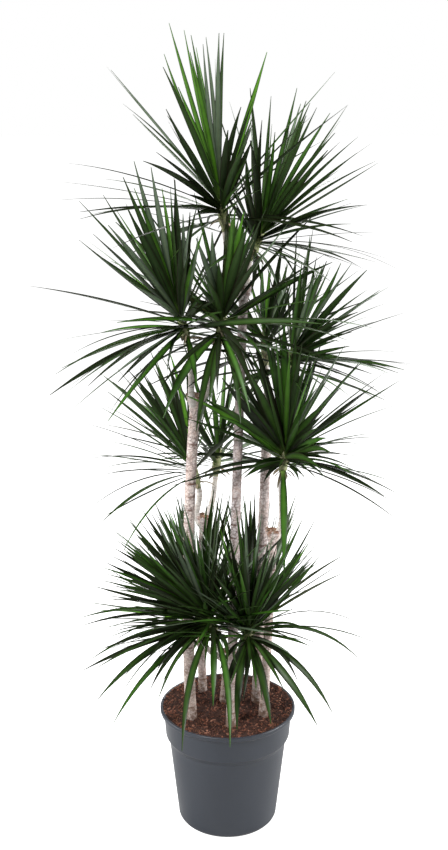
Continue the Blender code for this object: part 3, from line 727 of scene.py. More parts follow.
def caneRadius(cane, height):
    low, top = caneShape["soilTop"], cane["top"][2]
    flare = caneShape["flare"] * math.exp(-(height - low) / caneShape["flareHeight"])
    swell = max(0.0, 1.0 - (top - height) / caneShape["knuckleHeight"])
    swell = caneShape["knuckle"] * swell * swell * (3.0 - 2.0 * swell)
    return cane["radius"] * (1.0 - caneShape["taper"] * (height - low) / (top - low) + flare + swell)


def limbGuide(name, line, radii, seed, callus):
    # callus is 1 at a sawn end and fades below it
    seeds = [seed] * len(line)
    return makeGuide(name, [line], [("limbRadius", "FLOAT", radii), ("limbSeed", "FLOAT", seeds),
                                    ("callus", "FLOAT", callus)])


def makeCanes(tree, cut):
    for number, (name, cane) in enumerate(canes.items()):
        toned = [tuple(c * t for c, t in zip(shade, cane["tone"])) + (1.0,) for shade in barkShades["cane"]]
        # the canes' foot darkening is soil stain and painted shade
        bark = barkMaterial("bark_" + name, toned, 0.95, 0.40, footStainAndShade=0.85)
        low, top = caneShape["soilTop"] + 0.0003, cane["top"][2]
        count = int((top - low) / caneShape["step"])
        heights = [low + (top - low) * k / count for k in range(count + 1)]
        line = [caneAxis(cane, h) for h in heights]
        radii = [caneRadius(cane, h) for h in heights]
        radii[-1] -= caneShape["edgeRound"]  # the cut's edge is a little rounded
        values = {**caneRelief, "Sides": caneShape["sides"], "Bark": bark, "Cut Wood": cut}
        callus = [max(0.0, 1.0 - (top - h) / caneShape["callusHeight"]) for h in heights]
        piece = growPiece("bark_" + name, limbGuide(name, line, radii, 3.1 * number, callus), tree, values)
        outward(piece)
        settle(piece, "cane_bark", name)
    print("canes:", len(canes))


# Heads: heart is where the leaves spring, fork is how far below its cane's cut the shoot leaves the cane,
# leaf is the leaves' length, droop how much they bend, broad their relative width, count how many follow
# the rule, wild how freely those stray from it, fresh how many of them are bright and fallen how many old
# ones have dropped. tips and hanging are pixels of the photograph where the tips of a head's long leaves
# show. After the pixel come, for those that stand out, the tint, the width and the reach as a share of
# leaf, which is negative towards the back. Hanging ones come forward. No other tip lies below the pixel
# row lowest or, where it is given, above highest.
# a tip tinted deep has painted shade in its base colour
# a tip tinted silver has a painted sheen in its base colour
heads = {
    "top_left": dict(
        cane="cane_front", fork=0.030, heart=(-0.012, -0.062, 1.408), lean=(-0.14, -0.06), leaf=0.367,
        droop=0.8, broad=0.95, count=20, wild=0.8, fresh=1.2, lowest=262,
        tips=((169, 23), (184, 30, "fresh", 1.0), (191, 35, "middle", 1.0), (203, 44, "silver", 1.2),
              (206, 37, "silver", 0.8), (219, 33, "silver", 1.0), (224, 33, "dark", 1.0),
              (164, 54, "fresh", 1.15), (163, 67), (107, 67, "dark", 0.7), (111, 70, "silver", 0.8),
              (123, 104, "dark", 0.9), (166, 109, "deep", 0.9), (143, 161, "deep", 1.2),
              (156, 152, "deep", 1.2, 0.7), (186, 194, "deep", 1.2, 0.35), (176, 206, "deep", 1.1, 0.45),
              (196, 214, "deep", 1.2, 0.35), (186, 219, "dark", 1.1, 0.4), (238, 204, "dark", 1.2, 0.4),
              (188, 207, "dark", 1.1, 0.35), (267, 52, "fresh", 1.25), (241, 107, "deep", 1.1),
              (66, 163, "deep", 0.65), (62, 182, "deep", 0.6), (60, 200, "deep", 0.6),
              (80, 212, "deep", 0.7), (80, 219, "deep", 0.7), (113, 248, "deep", 0.7),
              (190, 52, "fresh", 1.2), (335, 72, "middle", 1.0), (348, 105, "deep", 1.0),
              (254, 113, "dark", 1.0), (228, 130, "deep", 1.1), (247, 142, "dark", 1.1),
              (256, 164, "deep", 1.1), (252, 140, "deep", 1.3, 0.8), (246, 160, "dark", 1.2, 0.6),
              (240, 188, "dark", 1.2, 0.5)),
        hanging=()),
    "top_right": dict(
        cane="cane_front", fork=0.022, heart=(0.060, -0.006, 1.341), lean=(0.38, 0.06), leaf=0.335,
        droop=0.85, broad=0.94, count=32, wild=1.3, fresh=0.12, fallen=0.4, lowest=300,
        tips=((250, 88, "deep", 1.1), (271, 96, "dark", 1.1), (297, 88, "middle", 1.0), (310, 103),
              (330, 113, "middle", 0.9), (347, 106), (335, 133), (340, 142), (358, 137),
              (372, 143, "deep", 0.4), (357, 153, "dark", 0.9), (349, 172), (376, 161), (378, 163),
              (367, 205, "deep", 0.9), (352, 203, "deep", 1.0), (352, 224), (384, 232, "deep", 0.4),
              (388, 259, "deep", 0.6), (363, 269), (341, 263), (401, 271, "deep", 0.4), (330, 281),
              (299, 108), (262, 120, "deep", 1.2), (250, 140, "deep", 1.3), (256, 152, "dark", 1.2, 0.8),
              (244, 196, "deep", 1.2, 0.6), (236, 206, "deep", 1.2, 0.4), (232, 196, "dark", 1.1, 0.5),
              (300, 258, "deep", 1.0, 0.6), (310, 262, "dark", 0.9, 0.6), (328, 150, "dark", 1.1),
              (275, 132, "middle", 1.2), (228, 200, "deep", 1.1), (234, 186, "dark", 1.1),
              (240, 172, "deep", 1.2), (246, 156, "dark", 1.2), (236, 214, "deep", 1.0)),
        hanging=((278, 288, "silver", 1.0), (262, 286, "dark", 0.9), (298, 282, "deep", 0.6),
                 (322, 286, "deep", 0.5))),
    "upper_left": dict(
        cane="cane_front_left", fork=0.030, heart=(-0.092, -0.080, 1.179), lean=(-0.28, -0.10),
        leaf=0.368, droop=0.65, broad=1.10, count=19, wild=1.0, fresh=2.6, fallen=0.6, lowest=420,
        tips=((134, 161, "silver", 1.0), (151, 167, "silver", 1.2), (174, 178, "deep", 1.1),
              (123, 177, "dark", 1.2), (128, 210, "dark", 1.3, 0.85), (134, 188, "fresh", 1.2, 0.9),
              (103, 195, "dark", 1.1), (108, 225, "silver", 0.9), (79, 201, "dark", 0.8),
              (79, 240, "silver", 0.9), (93, 234), (29, 286, "deep", 0.75, 0.87),
              (133, 285, "silver", 0.9), (62, 368, "dark", 0.8), (56, 374, "dark", 0.8),
              (64, 391, "dark", 0.8), (50, 395, "deep", 1.0), (75, 407, "dark", 0.7), (66, 393),
              (88, 386, "deep", 0.8), (72, 354, "dark", 0.7), (118, 382, "deep", 0.9, 0.8), (108, 380),
              (55, 341, "silver", 0.4), (95, 322, "silver", 0.3), (108, 421, "middle", 1.2),
              (122, 410, "dark", 0.7), (104, 372, "deep", 0.7), (204, 228, "fresh", 1.15),
              (190, 250, "deep", 1.0), (322, 324, "dark", 1.2), (162, 188, "fresh", 0.9),
              (198, 236, "silver", 1.0), (180, 240, "deep", 1.1), (183, 214, "silver", 1.4),
              (190, 226, "silver", 1.2), (175, 180, "deep", 1.2), (190, 212, "deep", 1.2),
              (197, 206, "dark", 1.1), (216, 300, "deep", 1.1, 0.5), (222, 312, "dark", 1.1, 0.5),
              (206, 290, "dark", 1.2, 0.45), (202, 304, "deep", 1.2, 0.4), (212, 330, "deep", 1.0, 0.4)),
        hanging=((167, 372, "silver", 0.9), (197, 388, "middle", 1.4))),
    "upper_front": dict(
        cane="cane_front_left", fork=0.026, heart=(-0.014, -0.090, 1.183), lean=(0.10, -0.16), leaf=0.310,
        droop=0.9, broad=1.25, count=40, wild=1.2, fresh=1.2, lowest=424,
        tips=((212, 232, "silver", 1.0), (226, 238), (196, 238, "silver", 1.1), (258, 230, "deep", 1.1),
              (232, 215), (372, 328, "middle", 0.9, 1.1), (248, 226, "dark", 1.1),
              (265, 252, "deep", 1.1), (200, 262, "deep", 0.9), (190, 296, "dark", 1.1, 0.5),
              (186, 305, "deep", 1.1, 0.45), (196, 282, "dark", 1.1, 0.6), (180, 316, "deep", 1.0, 0.5),
              (200, 300, "deep", 1.2, 0.4), (204, 312, "dark", 1.2, 0.4), (244, 212, "fresh", 1.4, 1.0)),
        hanging=((163, 418, "middle", 1.4), (196, 432, "dark", 1.0), (209, 405, "dark", 1.4),
                 (217, 396, "deep", 1.0), (243, 396, "dark", 1.3), (250, 412, "middle", 1.4),
                 (241, 424, "dark", 1.1), (258, 380, "deep", 1.1), (262, 356, "dark", 1.0))),
    "upper_back": dict(
        cane="cane_back_right", fork=0.030, heart=(0.083, 0.115, 1.094), lean=(-0.05, 0.36), leaf=0.312,
        droop=0.9, broad=1.0, count=52, wild=1.0, fresh=0.4, highest=262, lowest=390,
        tips=((283, 240), (300, 252), (244, 262), (288, 264, "dark", 1.1, -0.9),
              (280, 274, "deep", 1.0, -0.8), (292, 280, "dark", 1.0, -0.7), (261, 326, "dark", 1.0, -1.0),
              (240, 322, "dark", 1.0, -1.0), (286, 324, "dark", 1.0, -1.0)),
        hanging=()),
    "upper_right": dict(
        cane="cane_back_right", fork=0.042, heart=(0.130, 0.020, 1.080), lean=(0.32, 0.02), leaf=0.308,
        droop=0.9, broad=1.05, count=33, wild=1.2, fresh=0.3, highest=256, lowest=405,
        tips=((297, 228, "deep", 0.6), (310, 236), (316, 272, "silver", 1.0), (324, 274),
              (341, 263, "middle", 0.8), (352, 263, "silver", 0.7), (367, 270), (380, 290, "silver", 1.0),
              (389, 287, "silver", 1.0), (384, 304), (367, 317), (404, 313, "deep", 0.4),
              (400, 352, "dark", 0.8), (414, 366, "deep", 0.6, 0.89), (413, 364), (390, 368),
              (392, 403, "deep", 0.6), (352, 398), (388, 373), (313, 229, "dark", 0.9),
              (302, 262, "middle", 0.9), (345, 322, "dark", 1.1, 0.8), (358, 312, "deep", 1.1, 0.9),
              (350, 346, "dark", 1.2, 0.8), (342, 332, "dark", 1.2, 0.75), (352, 332, "deep", 1.0, 0.85),
              (338, 340, "middle", 1.0, 0.7), (326, 330, "dark", 1.1, 0.5), (334, 318, "deep", 1.1, 0.6),
              (330, 352, "dark", 1.2, 0.5), (322, 342, "deep", 1.2, 0.35), (338, 356, "middle", 1.1, 0.6),
              (316, 350, "dark", 1.1, 0.4)),
        hanging=()),
    "middle_right": dict(
        cane="cane_right", fork=0.032, heart=(0.1207, -0.030, 0.8774), lean=(0.10, -0.16), leaf=0.320,
        droop=1.1, broad=1.15, count=35, wild=1.0, fresh=0.6, lowest=492,
        tips=((222, 378, "deep", 1.3), (212, 402, "dark", 1.3), (228, 362, "deep", 1.3),
              (240, 358, "deep", 1.3), (246, 368, "dark", 1.3), (232, 345, "deep", 1.3),
              (234, 386, "dark", 1.2, 0.8), (244, 478, "dark", 1.3, 0.5), (256, 474, "deep", 1.3, 0.35),
              (264, 482, "deep", 1.2, 0.3), (252, 466, "dark", 1.2, 0.5), (205, 412, "middle", 1.1),
              (399, 381, "dark", 0.7), (397, 405, "dark", 0.6), (376, 433, "middle", 0.7),
              (376, 438, "dark", 0.6), (345, 345, "silver", 1.0), (343, 386), (317, 388, "middle", 1.0),
              (349, 456), (372, 460, "deep", 0.5), (390, 481), (406, 499, "deep", 0.6),
              (406, 510, "deep", 0.5), (401, 523, "deep", 0.6), (344, 443, "middle", 1.0),
              (360, 444, "dark", 0.9), (304, 476, "dark", 0.9, 0.3), (230, 440, "dark", 0.9, 0.8),
              (378, 484, "dark", 0.9), (384, 496, "deep", 0.8), (330, 452, "dark", 1.2),
              (322, 470, "dark", 1.2), (318, 480, "dark", 0.8, 0.45), (312, 475, "deep", 0.8, 0.4),
              (326, 478, "middle", 0.7, 0.55), (306, 481, "dark", 0.8, 0.3), (340, 474, "deep", 0.8),
              (326, 438, "middle", 1.2), (318, 428, "dark", 1.2), (324, 414, "deep", 1.3),
              (328, 402, "dark", 1.2), (336, 462, "deep", 1.0), (352, 468, "dark", 0.8, 0.9),
              (247, 345, "dark", 1.1), (262, 322, "middle", 1.1), (284, 318, "middle", 1.4),
              (296, 330, "dark", 1.2), (322, 368, "middle", 1.0), (362, 362, "middle", 0.9),
              (185, 395, "fresh", 1.3), (192, 478, "deep", 0.8), (240, 477, "dark", 0.9),
              (238, 340, "dark", 1.1), (252, 330, "deep", 1.2), (268, 325, "dark", 1.1),
              (276, 340, "middle", 1.0), (302, 345, "deep", 1.1), (310, 352, "dark", 1.0), (313, 370),
              (256, 352, "deep", 1.2), (290, 352, "fresh", 1.0)),
        hanging=((284, 576, "middle", 1.9),)),
    "middle_left": dict(
        cane="cane_back_left", fork=0.030, heart=(-0.076, 0.074, 0.819), lean=(-0.28, 0.08), leaf=0.315,
        droop=1.4, broad=0.95, count=36, wild=1.3, fresh=0.4, fallen=0.8, lowest=512,
        tips=((94, 368, "fresh", 1.0), (104, 376, "dark", 1.1), (115, 366, "dark", 1.0),
              (128, 370, "deep", 1.1), (134, 380, "dark", 1.1), (146, 376, "deep", 1.0),
              (100, 404, "middle", 1.0), (108, 392, "dark", 1.0), (122, 388, "dark", 1.0),
              (93, 403, "middle", 0.8), (76, 421, "deep", 0.4), (113, 382, "middle", 0.9), (140, 368),
              (152, 365), (167, 358), (160, 372), (76, 461, "deep", 0.6), (103, 468, "dark", 0.7),
              (98, 462, "dark", 0.6), (97, 476, "deep", 0.7), (80, 517, "deep", 0.6),
              (97, 521, "dark", 0.7), (103, 521), (128, 398), (186, 360), (136, 392, "middle", 1.0),
              (172, 370, "deep", 1.0), (150, 382, "dark", 1.1)),
        hanging=((118, 562, "middle", 0.9),)),
    "middle_back": dict(
        cane="cane_back_left", fork=0.024, heart=(-0.024, 0.125, 0.832), lean=(0.10, 0.34), leaf=0.295,
        droop=0.9, broad=0.95, count=36, wild=1.0, fresh=0.5, lowest=470,
        tips=((212, 380), (216, 442, "dark", 1.0, -1.0), (196, 436, "dark", 1.0, -1.0),
              (236, 438, "dark", 1.0, -1.0)),
        hanging=()),
    "low_left": dict(
        cane="cane_low", fork=0.026, heart=(-0.036, -0.104, 0.530), lean=(-0.26, -0.14), leaf=0.305,
        droop=1.0, broad=0.84, count=72, wild=2.2, fresh=0.12, fallen=0.6, lowest=664,
        tips=((130, 522, "dark", 1.3), (143, 511, "deep", 1.3), (155, 503, "dark", 1.2),
              (119, 540, "middle", 1.2), (136, 534, "dark", 1.3), (148, 524, "deep", 1.3),
              (126, 552, "dark", 1.3), (112, 556, "deep", 1.2), (100, 580, "dark", 1.2),
              (135, 560, "dark", 1.2), (125, 575, "deep", 1.3), (118, 590, "dark", 1.2),
              (110, 600, "deep", 1.2), (226, 580, "dark", 1.3), (222, 565, "deep", 1.3),
              (232, 600, "middle", 1.2), (218, 550, "deep", 1.2), (128, 526, "dark", 1.1),
              (118, 541, "dark", 1.3), (124, 549, "middle", 1.2), (106, 574, "dark", 1.3),
              (107, 563, "deep", 1.3), (104, 568, "middle", 1.2), (114, 548, "deep", 1.3),
              (93, 586, "deep", 1.2), (88, 595, "dark", 1.1), (78, 601, "dark", 1.0),
              (80, 618, "dark", 1.1), (79, 627), (96, 631, "dark", 1.1), (90, 660, "dark", 1.1),
              (100, 650, "deep", 1.2), (82, 671, "deep", 1.2), (97, 668, "dark", 1.1),
              (104, 584, "dark", 1.1), (112, 592, "deep", 1.1, 0.85), (136, 548, "dark", 1.2, 0.9),
              (142, 538, "deep", 1.2), (128, 566, "dark", 1.1, 0.85), (108, 596, "dark", 1.1),
              (150, 548, "deep", 1.3, 0.8), (146, 558, "dark", 1.3, 0.75), (138, 537, "dark", 1.3, 0.95),
              (146, 530, "deep", 1.3, 0.95), (140, 546, "middle", 1.2, 0.9), (176, 560, "dark", 1.2),
              (190, 556, "deep", 1.2), (200, 548, "middle", 1.1), (168, 575, "dark", 1.2), (141, 521),
              (152, 515), (157, 513), (163, 510), (168, 512), (176, 505), (176, 496), (182, 499),
              (146, 548), (196, 530), (172, 536, "silver", 1.3), (205, 508), (190, 520), (214, 500),
              (136, 556), (150, 532), (122, 580), (222, 500), (234, 545, "deep", 1.1),
              (240, 570, "dark", 1.2), (226, 556, "deep", 1.1), (252, 590, "deep", 1.1),
              (262, 606, "dark", 1.1), (182, 545, "silver", 1.3), (160, 560, "dark", 1.1),
              (102, 640, "dark", 1.1), (108, 646, "deep", 1.0), (118, 584, "dark", 1.2),
              (238, 618, "dark", 1.2, 0.7), (226, 622, "deep", 1.2, 0.6)),
        hanging=((98, 699, "dark", 1.5), (113, 724, "middle", 1.6), (114, 708, "dark", 1.1),
                 (182, 751, "dark", 1.9), (213, 706, "middle", 1.9), (230, 747, "middle", 1.8),
                 (124, 676, "dark", 1.2), (163, 681, "dark", 1.4), (146, 662, "deep", 1.1),
                 (205, 668, "dark", 1.3), (221, 664, "deep", 1.4), (150, 690, "deep", 1.2),
                 (156, 672, "deep", 1.3), (172, 668, "dark", 1.3), (158, 700, "dark", 1.1),
                 (140, 684, "dark", 1.0))),
    "low_front": dict(
        cane="cane_low", fork=0.040, heart=(0.044, -0.118, 0.508), lean=(0.04, -0.28), leaf=0.300,
        droop=1.0, broad=0.86, count=76, wild=2.2, fresh=0.12, fallen=0.6, lowest=664,
        tips=((222, 560, "deep", 1.3), (214, 575, "dark", 1.3), (236, 560, "dark", 1.3, 0.75),
              (232, 548, "deep", 1.3, 0.85), (240, 580, "dark", 1.3, 0.6), (228, 530, "dark", 1.3),
              (225, 542, "deep", 1.3, 0.9), (238, 595, "deep", 1.3, 0.45), (233, 572, "middle", 1.3, 0.7),
              (300, 552, "dark", 1.2), (312, 562, "deep", 1.2), (296, 572, "middle", 1.2, 0.8),
              (284, 560, "dark", 1.2, 0.85), (320, 548, "dark", 1.1), (276, 548, "deep", 1.2),
              (210, 612, "dark", 1.2, 0.55), (204, 604, "deep", 1.2, 0.6), (272, 588, "middle", 1.2, 0.6),
              (300, 606, "dark", 1.1, 0.7), (230, 540, "deep", 1.2), (218, 596, "middle", 1.2),
              (212, 490), (226, 488), (228, 500), (245, 503), (255, 500), (236, 508), (262, 525),
              (232, 560), (288, 545), (216, 524), (200, 540), (190, 546), (252, 515), (274, 530),
              (196, 560, "dark", 1.1), (210, 566, "deep", 1.1), (206, 548, "dark", 1.1),
              (196, 578, "dark", 1.1), (222, 545, "middle", 1.1), (188, 590, "deep", 1.1),
              (178, 606, "dark", 1.1), (192, 622, "middle", 1.1), (264, 560, "dark", 1.1),
              (280, 575, "middle", 1.1), (244, 550, "deep", 1.1)),
        hanging=((237, 730, "dark", 1.9), (225, 700, "deep", 1.8), (271, 724, "dark", 1.9),
                 (298, 682, "deep", 1.2), (317, 725, "dark", 1.8), (332, 712, "dark", 1.7),
                 (360, 660, "dark", 1.2), (256, 690, "middle", 1.3), (376, 634, "deep", 0.9),
                 (229, 688, "dark", 1.3), (243, 700, "deep", 1.2), (219, 672, "deep", 1.3),
                 (250, 668, "dark", 1.3), (233, 668, "deep", 1.4), (262, 700, "dark", 1.3),
                 (284, 690, "dark", 1.1), (276, 668, "deep", 1.3))),
    "low_right": dict(
        cane="cane_low", fork=0.022, heart=(0.057, 0.040, 0.452), lean=(0.30, 0.14), leaf=0.315,
        droop=0.95, broad=0.84, count=68, wild=2.0, fresh=0.12, fallen=0.45, lowest=660,
        tips=((224, 515, "deep", 1.3), (228, 522, "dark", 1.3), (233, 530, "deep", 1.3),
              (226, 496, "deep", 1.2), (243, 493, "dark", 1.2), (266, 512, "deep", 1.2),
              (216, 500, "dark", 1.2), (245, 500, "deep", 1.2), (250, 498, "dark", 1.2),
              (255, 494, "deep", 1.2), (240, 508, "dark", 1.2), (262, 508, "deep", 1.1),
              (232, 505, "deep", 1.2), (236, 516, "middle", 1.2), (247, 512, "deep", 1.2),
              (258, 516, "dark", 1.2), (276, 515), (294, 513), (300, 528), (318, 514), (320, 535),
              (312, 551), (302, 546), (346, 554), (350, 560), (348, 571), (342, 575), (303, 578),
              (326, 619), (368, 640), (252, 502), (312, 566), (284, 526), (268, 512),
              (290, 556, "silver", 1.0), (306, 590)),
        hanging=()),
    "low_back": dict(
        cane="cane_low", fork=0.034, heart=(-0.062, 0.020, 0.470), lean=(-0.24, 0.26), leaf=0.305,
        droop=1.0, broad=0.84, count=118, wild=2.0, fresh=0.12, fallen=0.25, lowest=656,
        tips=((223, 491, "dark", 1.3), (214, 489, "dark", 1.3), (219, 496, "deep", 1.3),
              (212, 512, "dark", 1.3), (220, 522, "deep", 1.2), (208, 495, "deep", 1.1),
              (214, 506, "dark", 1.2), (228, 502, "deep", 1.2), (157, 510), (188, 516), (206, 508),
              (190, 504), (120, 558), (104, 590), (218, 520), (232, 530)),
        hanging=()),
}
# pixels of the photograph round the crown: a leaf that follows the rule keeps its tip inside
crownOutline = (
    (168, 58), (186, 34), (224, 34), (232, 112), (266, 54), (264, 94), (297, 90), (312, 106), (348, 107),
    (342, 134), (374, 145), (376, 165), (352, 184), (368, 206), (354, 226), (400, 268), (360, 272),
    (390, 288), (370, 316), (414, 364), (396, 382), (390, 404), (350, 420), (376, 435), (352, 456),
    (390, 481), (406, 508), (330, 474), (300, 482), (300, 512), (312, 524), (312, 545), (326, 560),
    (314, 575), (292, 592), (300, 606), (322, 634), (326, 648), (296, 646), (332, 712), (316, 724),
    (274, 725), (232, 742), (184, 742), (190, 690), (168, 672), (114, 722), (126, 690), (98, 698),
    (82, 670), (98, 636), (78, 622), (82, 602), (104, 574), (116, 542), (128, 526), (152, 512),
    (178, 498), (172, 482), (118, 560), (100, 520), (82, 516), (104, 470), (78, 461), (78, 422),
    (94, 404), (92, 370), (74, 406), (52, 394), (58, 370), (58, 340), (98, 318), (132, 290), (80, 240),
    (80, 204), (62, 200), (62, 182), (70, 164), (150, 172), (128, 112), (112, 76), (160, 150), (168, 108))


def headAxis(head):
    return Vector((*head["lean"], 1.0)).normalized()


def shootLine(head):
    # out of the cane's side under the cut, out and up, and onto the head's own line
    shape, cane = shootShape, canes[head["cane"]]
    start = caneAxis(cane, cane["top"][2] - head["fork"])
    end = Vector(head["heart"]) - headAxis(head) * neckShape["below"]
    away = Vector((end.x - start.x, end.y - start.y, 0.0)).normalized()
    reach = (end - start).length
    leaving, arriving = (min(share * reach, most) for share,
                         most in (shape["firstBend"], shape["lastBend"]))
    first = start + (away * shape["outward"] + up * shape["upward"]) * leaving
    last = end - headAxis(head) * arriving
    count = int(1.1 * reach / shape["step"])
    line = []
    for k in range(count + 1):
        t, s = k / count, 1.0 - k / count
        line.append(start * s ** 3 + first * 3 * s * s * t + last * 3 * s * t * t + end * t ** 3)
    return line


def makeShoots(tree, cut):
    bark = barkMaterial("youngShootBark", barkShades["shoot"], 0.40, 0.30)
    values = {**shootRelief, "Sides": shootShape["sides"], "Bark": bark, "Cut Wood": cut}
    for number, (name, head) in enumerate(heads.items()):
        line = shootLine(head)
        caneEdge = caneRadius(canes[head["cane"]], line[0].z)
        radii = []
        for k, place in enumerate(line):
            share = k / (len(line) - 1)
            beyond = max(0.0, (place - line[0]).length - caneEdge)
            collar = shootShape["collar"] * math.exp(-beyond / shootShape["collarLength"])
            plain = shootShape["radius"] + (shootShape["tipRadius"] - shootShape["radius"]) * share
            radii.append(plain * (1.0 + collar))
        guide = limbGuide("shoot_" + name, line, radii, 2.3 * number + 40.0, [0.0] * len(line))
        piece = growPiece("bark_shoot_" + name, guide, tree, values)
        outward(piece)
        settle(piece, "shoot_bark", "shoot_" + name)
    print("shoots:", len(heads))


def neckRadius(along):
    # along runs from -1 at the shoot's tip through 0 at the heart to 1 at the growing point
    radii = neckShape["radii"]
    for (low, small), (high, large) in zip(radii, radii[1:]):
        if along <= high:
            return small + (large - small) * (along - low) / (high - low)
    return radii[-1][1]


def neckLine(head):
    axis, heart = headAxis(head), Vector(head["heart"])
    low, high = neckShape["clearance"] - neckShape["below"], neckShape["above"]
    count = int((high - low) / neckShape["step"])
    line, radii = [], []
    for k in range(count + 1):
        along = low + (high - low) * k / count
        line.append(heart + axis * along)
        radii.append(neckRadius(along / (neckShape["below"] if along < 0 else neckShape["above"])))
    return line, radii


def makeNecks(tree):
    # the heads' own stems, under and among the leaf bases
    bark = barkMaterial("freshNeckBark", barkShades["neck"], 0.5, 0.1)
    lines, radii = zip(*[neckLine(head) for head in heads.values()])
    seeds = [70.0 + 1.7 * n for n, line in enumerate(lines) for place in line]
    guide = makeGuide("necks", lines, [("limbRadius", "FLOAT", [r for row in radii for r in row]),
                                       ("limbSeed", "FLOAT", seeds),
                                       ("callus", "FLOAT", [0.0] * len(seeds))])
    values = {**neckRelief, "Sides": neckShape["sides"], "Bark": bark, "Cut Wood": bark}
    piece = growPiece("head_necks", guide, tree, values)
    outward(piece)
    settle(piece, "shoot_bark")


# Leaves: age runs from 0, the oldest and lowest, to 1, the youngest at the growing point
growth = dict(seed=41, goldenAngle=137.508, lowestRise=-30.0, highestRise=84.0, riseCurve=0.80,
              oldAge=0.34, sagPower=1.3, levelSag=0.36, hangingSag=1.2, hangingDepth=(0.03, 0.11),
              sagSpread=0.5, lift=0.22, turnSpread=0.36, riseSpread=0.22, shortest=0.66, longest=1.0,
              youngAge=0.85, youngShortfall=0.30, oldestRoot=-0.45, youngestRoot=0.75, tries=18,
              tryFreedom=0.15, aimTries=6, aimShift=1.5, longestAimed=1.28, usualReach=0.96,
              reachSpread=(0.95, 1.03), clearance=0.0008, aimedDepth=0.75, swing=0.22, twist=0.45,
              roll=0.30, shownFrom=1.2, shownRoll=0.25, shownWidth=0.85, front=(0.0, -0.95, 0.30),
              steps=12)
blade = dict(halfWidth=0.0059, widthSpread=0.24, rootShare=0.75, neckShare=0.55, neckAt=0.08, widestAt=0.42,
             taper=1.90, tipShare=0.10, channel=0.34, keel=0.10, shortWidth=0.6, fullWidthLength=0.28)


def leafRoot(head, age):
    oldest, youngest = growth["oldestRoot"] * neckShape["below"], growth["youngestRoot"] * neckShape["above"]
    along = oldest * (1.0 - age) + youngest * age
    return Vector(head["heart"]) + headAxis(head) * along


def leafSag(head, heading, chance):
    # the lower a leaf sets out, the more it sags; a high one may bend upwards instead
    sag = growth["levelSag"] * math.exp(-math.asin(max(-1.0, min(1.0, heading.z)))) * head["droop"]
    spread = growth["sagSpread"] * math.sqrt(head["wild"])
    return sag * chance.uniform(1.0 - spread,
                                1.0 + spread) - growth["lift"] * max(0.0, heading.z) * chance.random()


def leafLine(root, heading, length, sag, swing):
    # sets out along its heading, bends down more the further it goes, and swings a little to one side
    steps = growth["steps"]
    aside = heading.cross(up)
    line = [root]
    for k in range(steps):
        share = (k + 0.5) / steps
        onward = heading - up * sag * share ** growth["sagPower"] + aside * swing * share
        line.append(line[-1] + onward.normalized() * (length / steps))
    return line


def headingAt(head, turn, rise):
    # a direction turned round the head's axis and risen towards it
    axis = headAxis(head)
    across = axis.cross(Vector((0.0, 1.0, 0.0))).normalized()
    outwards = across * math.cos(turn) + axis.cross(across) * math.sin(turn)
    return outwards * math.cos(rise) + axis * math.sin(rise)


def ruleLeaf(head, index, chance, freedom):
    # the part's own rule for a leaf's place, heading, length and sag
    age = index / (head["count"] - 1)
    turn = math.radians(index * growth["goldenAngle"])
    turn += freedom * chance.uniform(-1, 1) * growth["turnSpread"]
    span = growth["highestRise"] - growth["lowestRise"]
    rise = math.radians(growth["lowestRise"] + span * age ** growth["riseCurve"])
    rise += freedom * chance.uniform(-1, 1) * growth["riseSpread"]
    heading = headingAt(head, turn, rise)
    length = head["leaf"] * chance.uniform(growth["shortest"], growth["longest"])
    young = growth["youngAge"]
    length *= 1.0 - growth["youngShortfall"] * max(0.0, age - young) / (1.0 - young)
    swing = chance.uniform(-1, 1) * growth["swing"] * head["wild"]
    sag = leafSag(head, heading, chance)
    return dict(age=age, root=leafRoot(head, age), heading=heading, length=length, sag=sag, swing=swing,
                fresh=head["fresh"])


def reachPoint(root, pixel, reach, behind, deepest):
    # the point seen at that pixel that lies at the leaf's reach from its root, or else as near as can be
    eye, ray = Vector(photoCamera["place"]), pixelRay(pixel)
    nearest = (root - eye).dot(ray)
    spare = reach * reach - (eye + ray * nearest - root).length_squared
    depth = min(deepest, math.sqrt(spare) if spare > 0.0 else 0.0)
    return eye + ray * (nearest + (depth if behind else -depth))


def insideCrown(pixel):
    # whether a pixel lies inside the crown's outline in the photograph
    x, y = pixel
    inside = False
    for (x0, y0), (x1, y1) in zip(crownOutline, crownOutline[1:] + crownOutline[:1]):
        if (y0 > y) != (y1 > y) and x < x0 + (x1 - x0) * (y - y0) / (y1 - y0):
            inside = not inside
    return inside


def aimedLeaf(head, pixel, reach, hangs, chance):
    # a long leaf whose tip shows at a pixel of the photograph: its heading is found by a few corrections;
    # reach is a share of the head's leaf length, negative towards the back
    axis = headAxis(head)
    age, swing = 0.5, chance.uniform(-1, 1) * growth["swing"] * head["wild"]
    spread = chance.uniform(*growth["reachSpread"])
    luck = chance.randrange(10000)
    deepest = chance.uniform(*growth["hangingDepth"]) if hangs else growth["aimedDepth"] * head["leaf"]
    for turn in range(2):
        root = leafRoot(head, age)
        target = reachPoint(root, pixel, head["leaf"] * spread * abs(reach), reach < 0.0, deepest)
        heading, length = (target - root).normalized(), (target - root).length
        sag = growth["hangingSag"] if hangs else leafSag(head, heading, random.Random(luck))
        for again in range(16):
            end = leafLine(root, heading, length, sag, swing)[-1]
            length *= (target - root).length / (end - root).length
            heading = (heading + (target - end) / length).normalized()
        rise = math.degrees(math.asin(max(-1.0, min(1.0, heading.dot(axis)))))
        share = (rise - growth["lowestRise"]) / (growth["highestRise"] - growth["lowestRise"])
        age = max(0.0, min(1.0, share)) ** (1.0 / growth["riseCurve"])
    return dict(age=age, root=root, heading=heading, length=length, sag=sag, swing=swing)


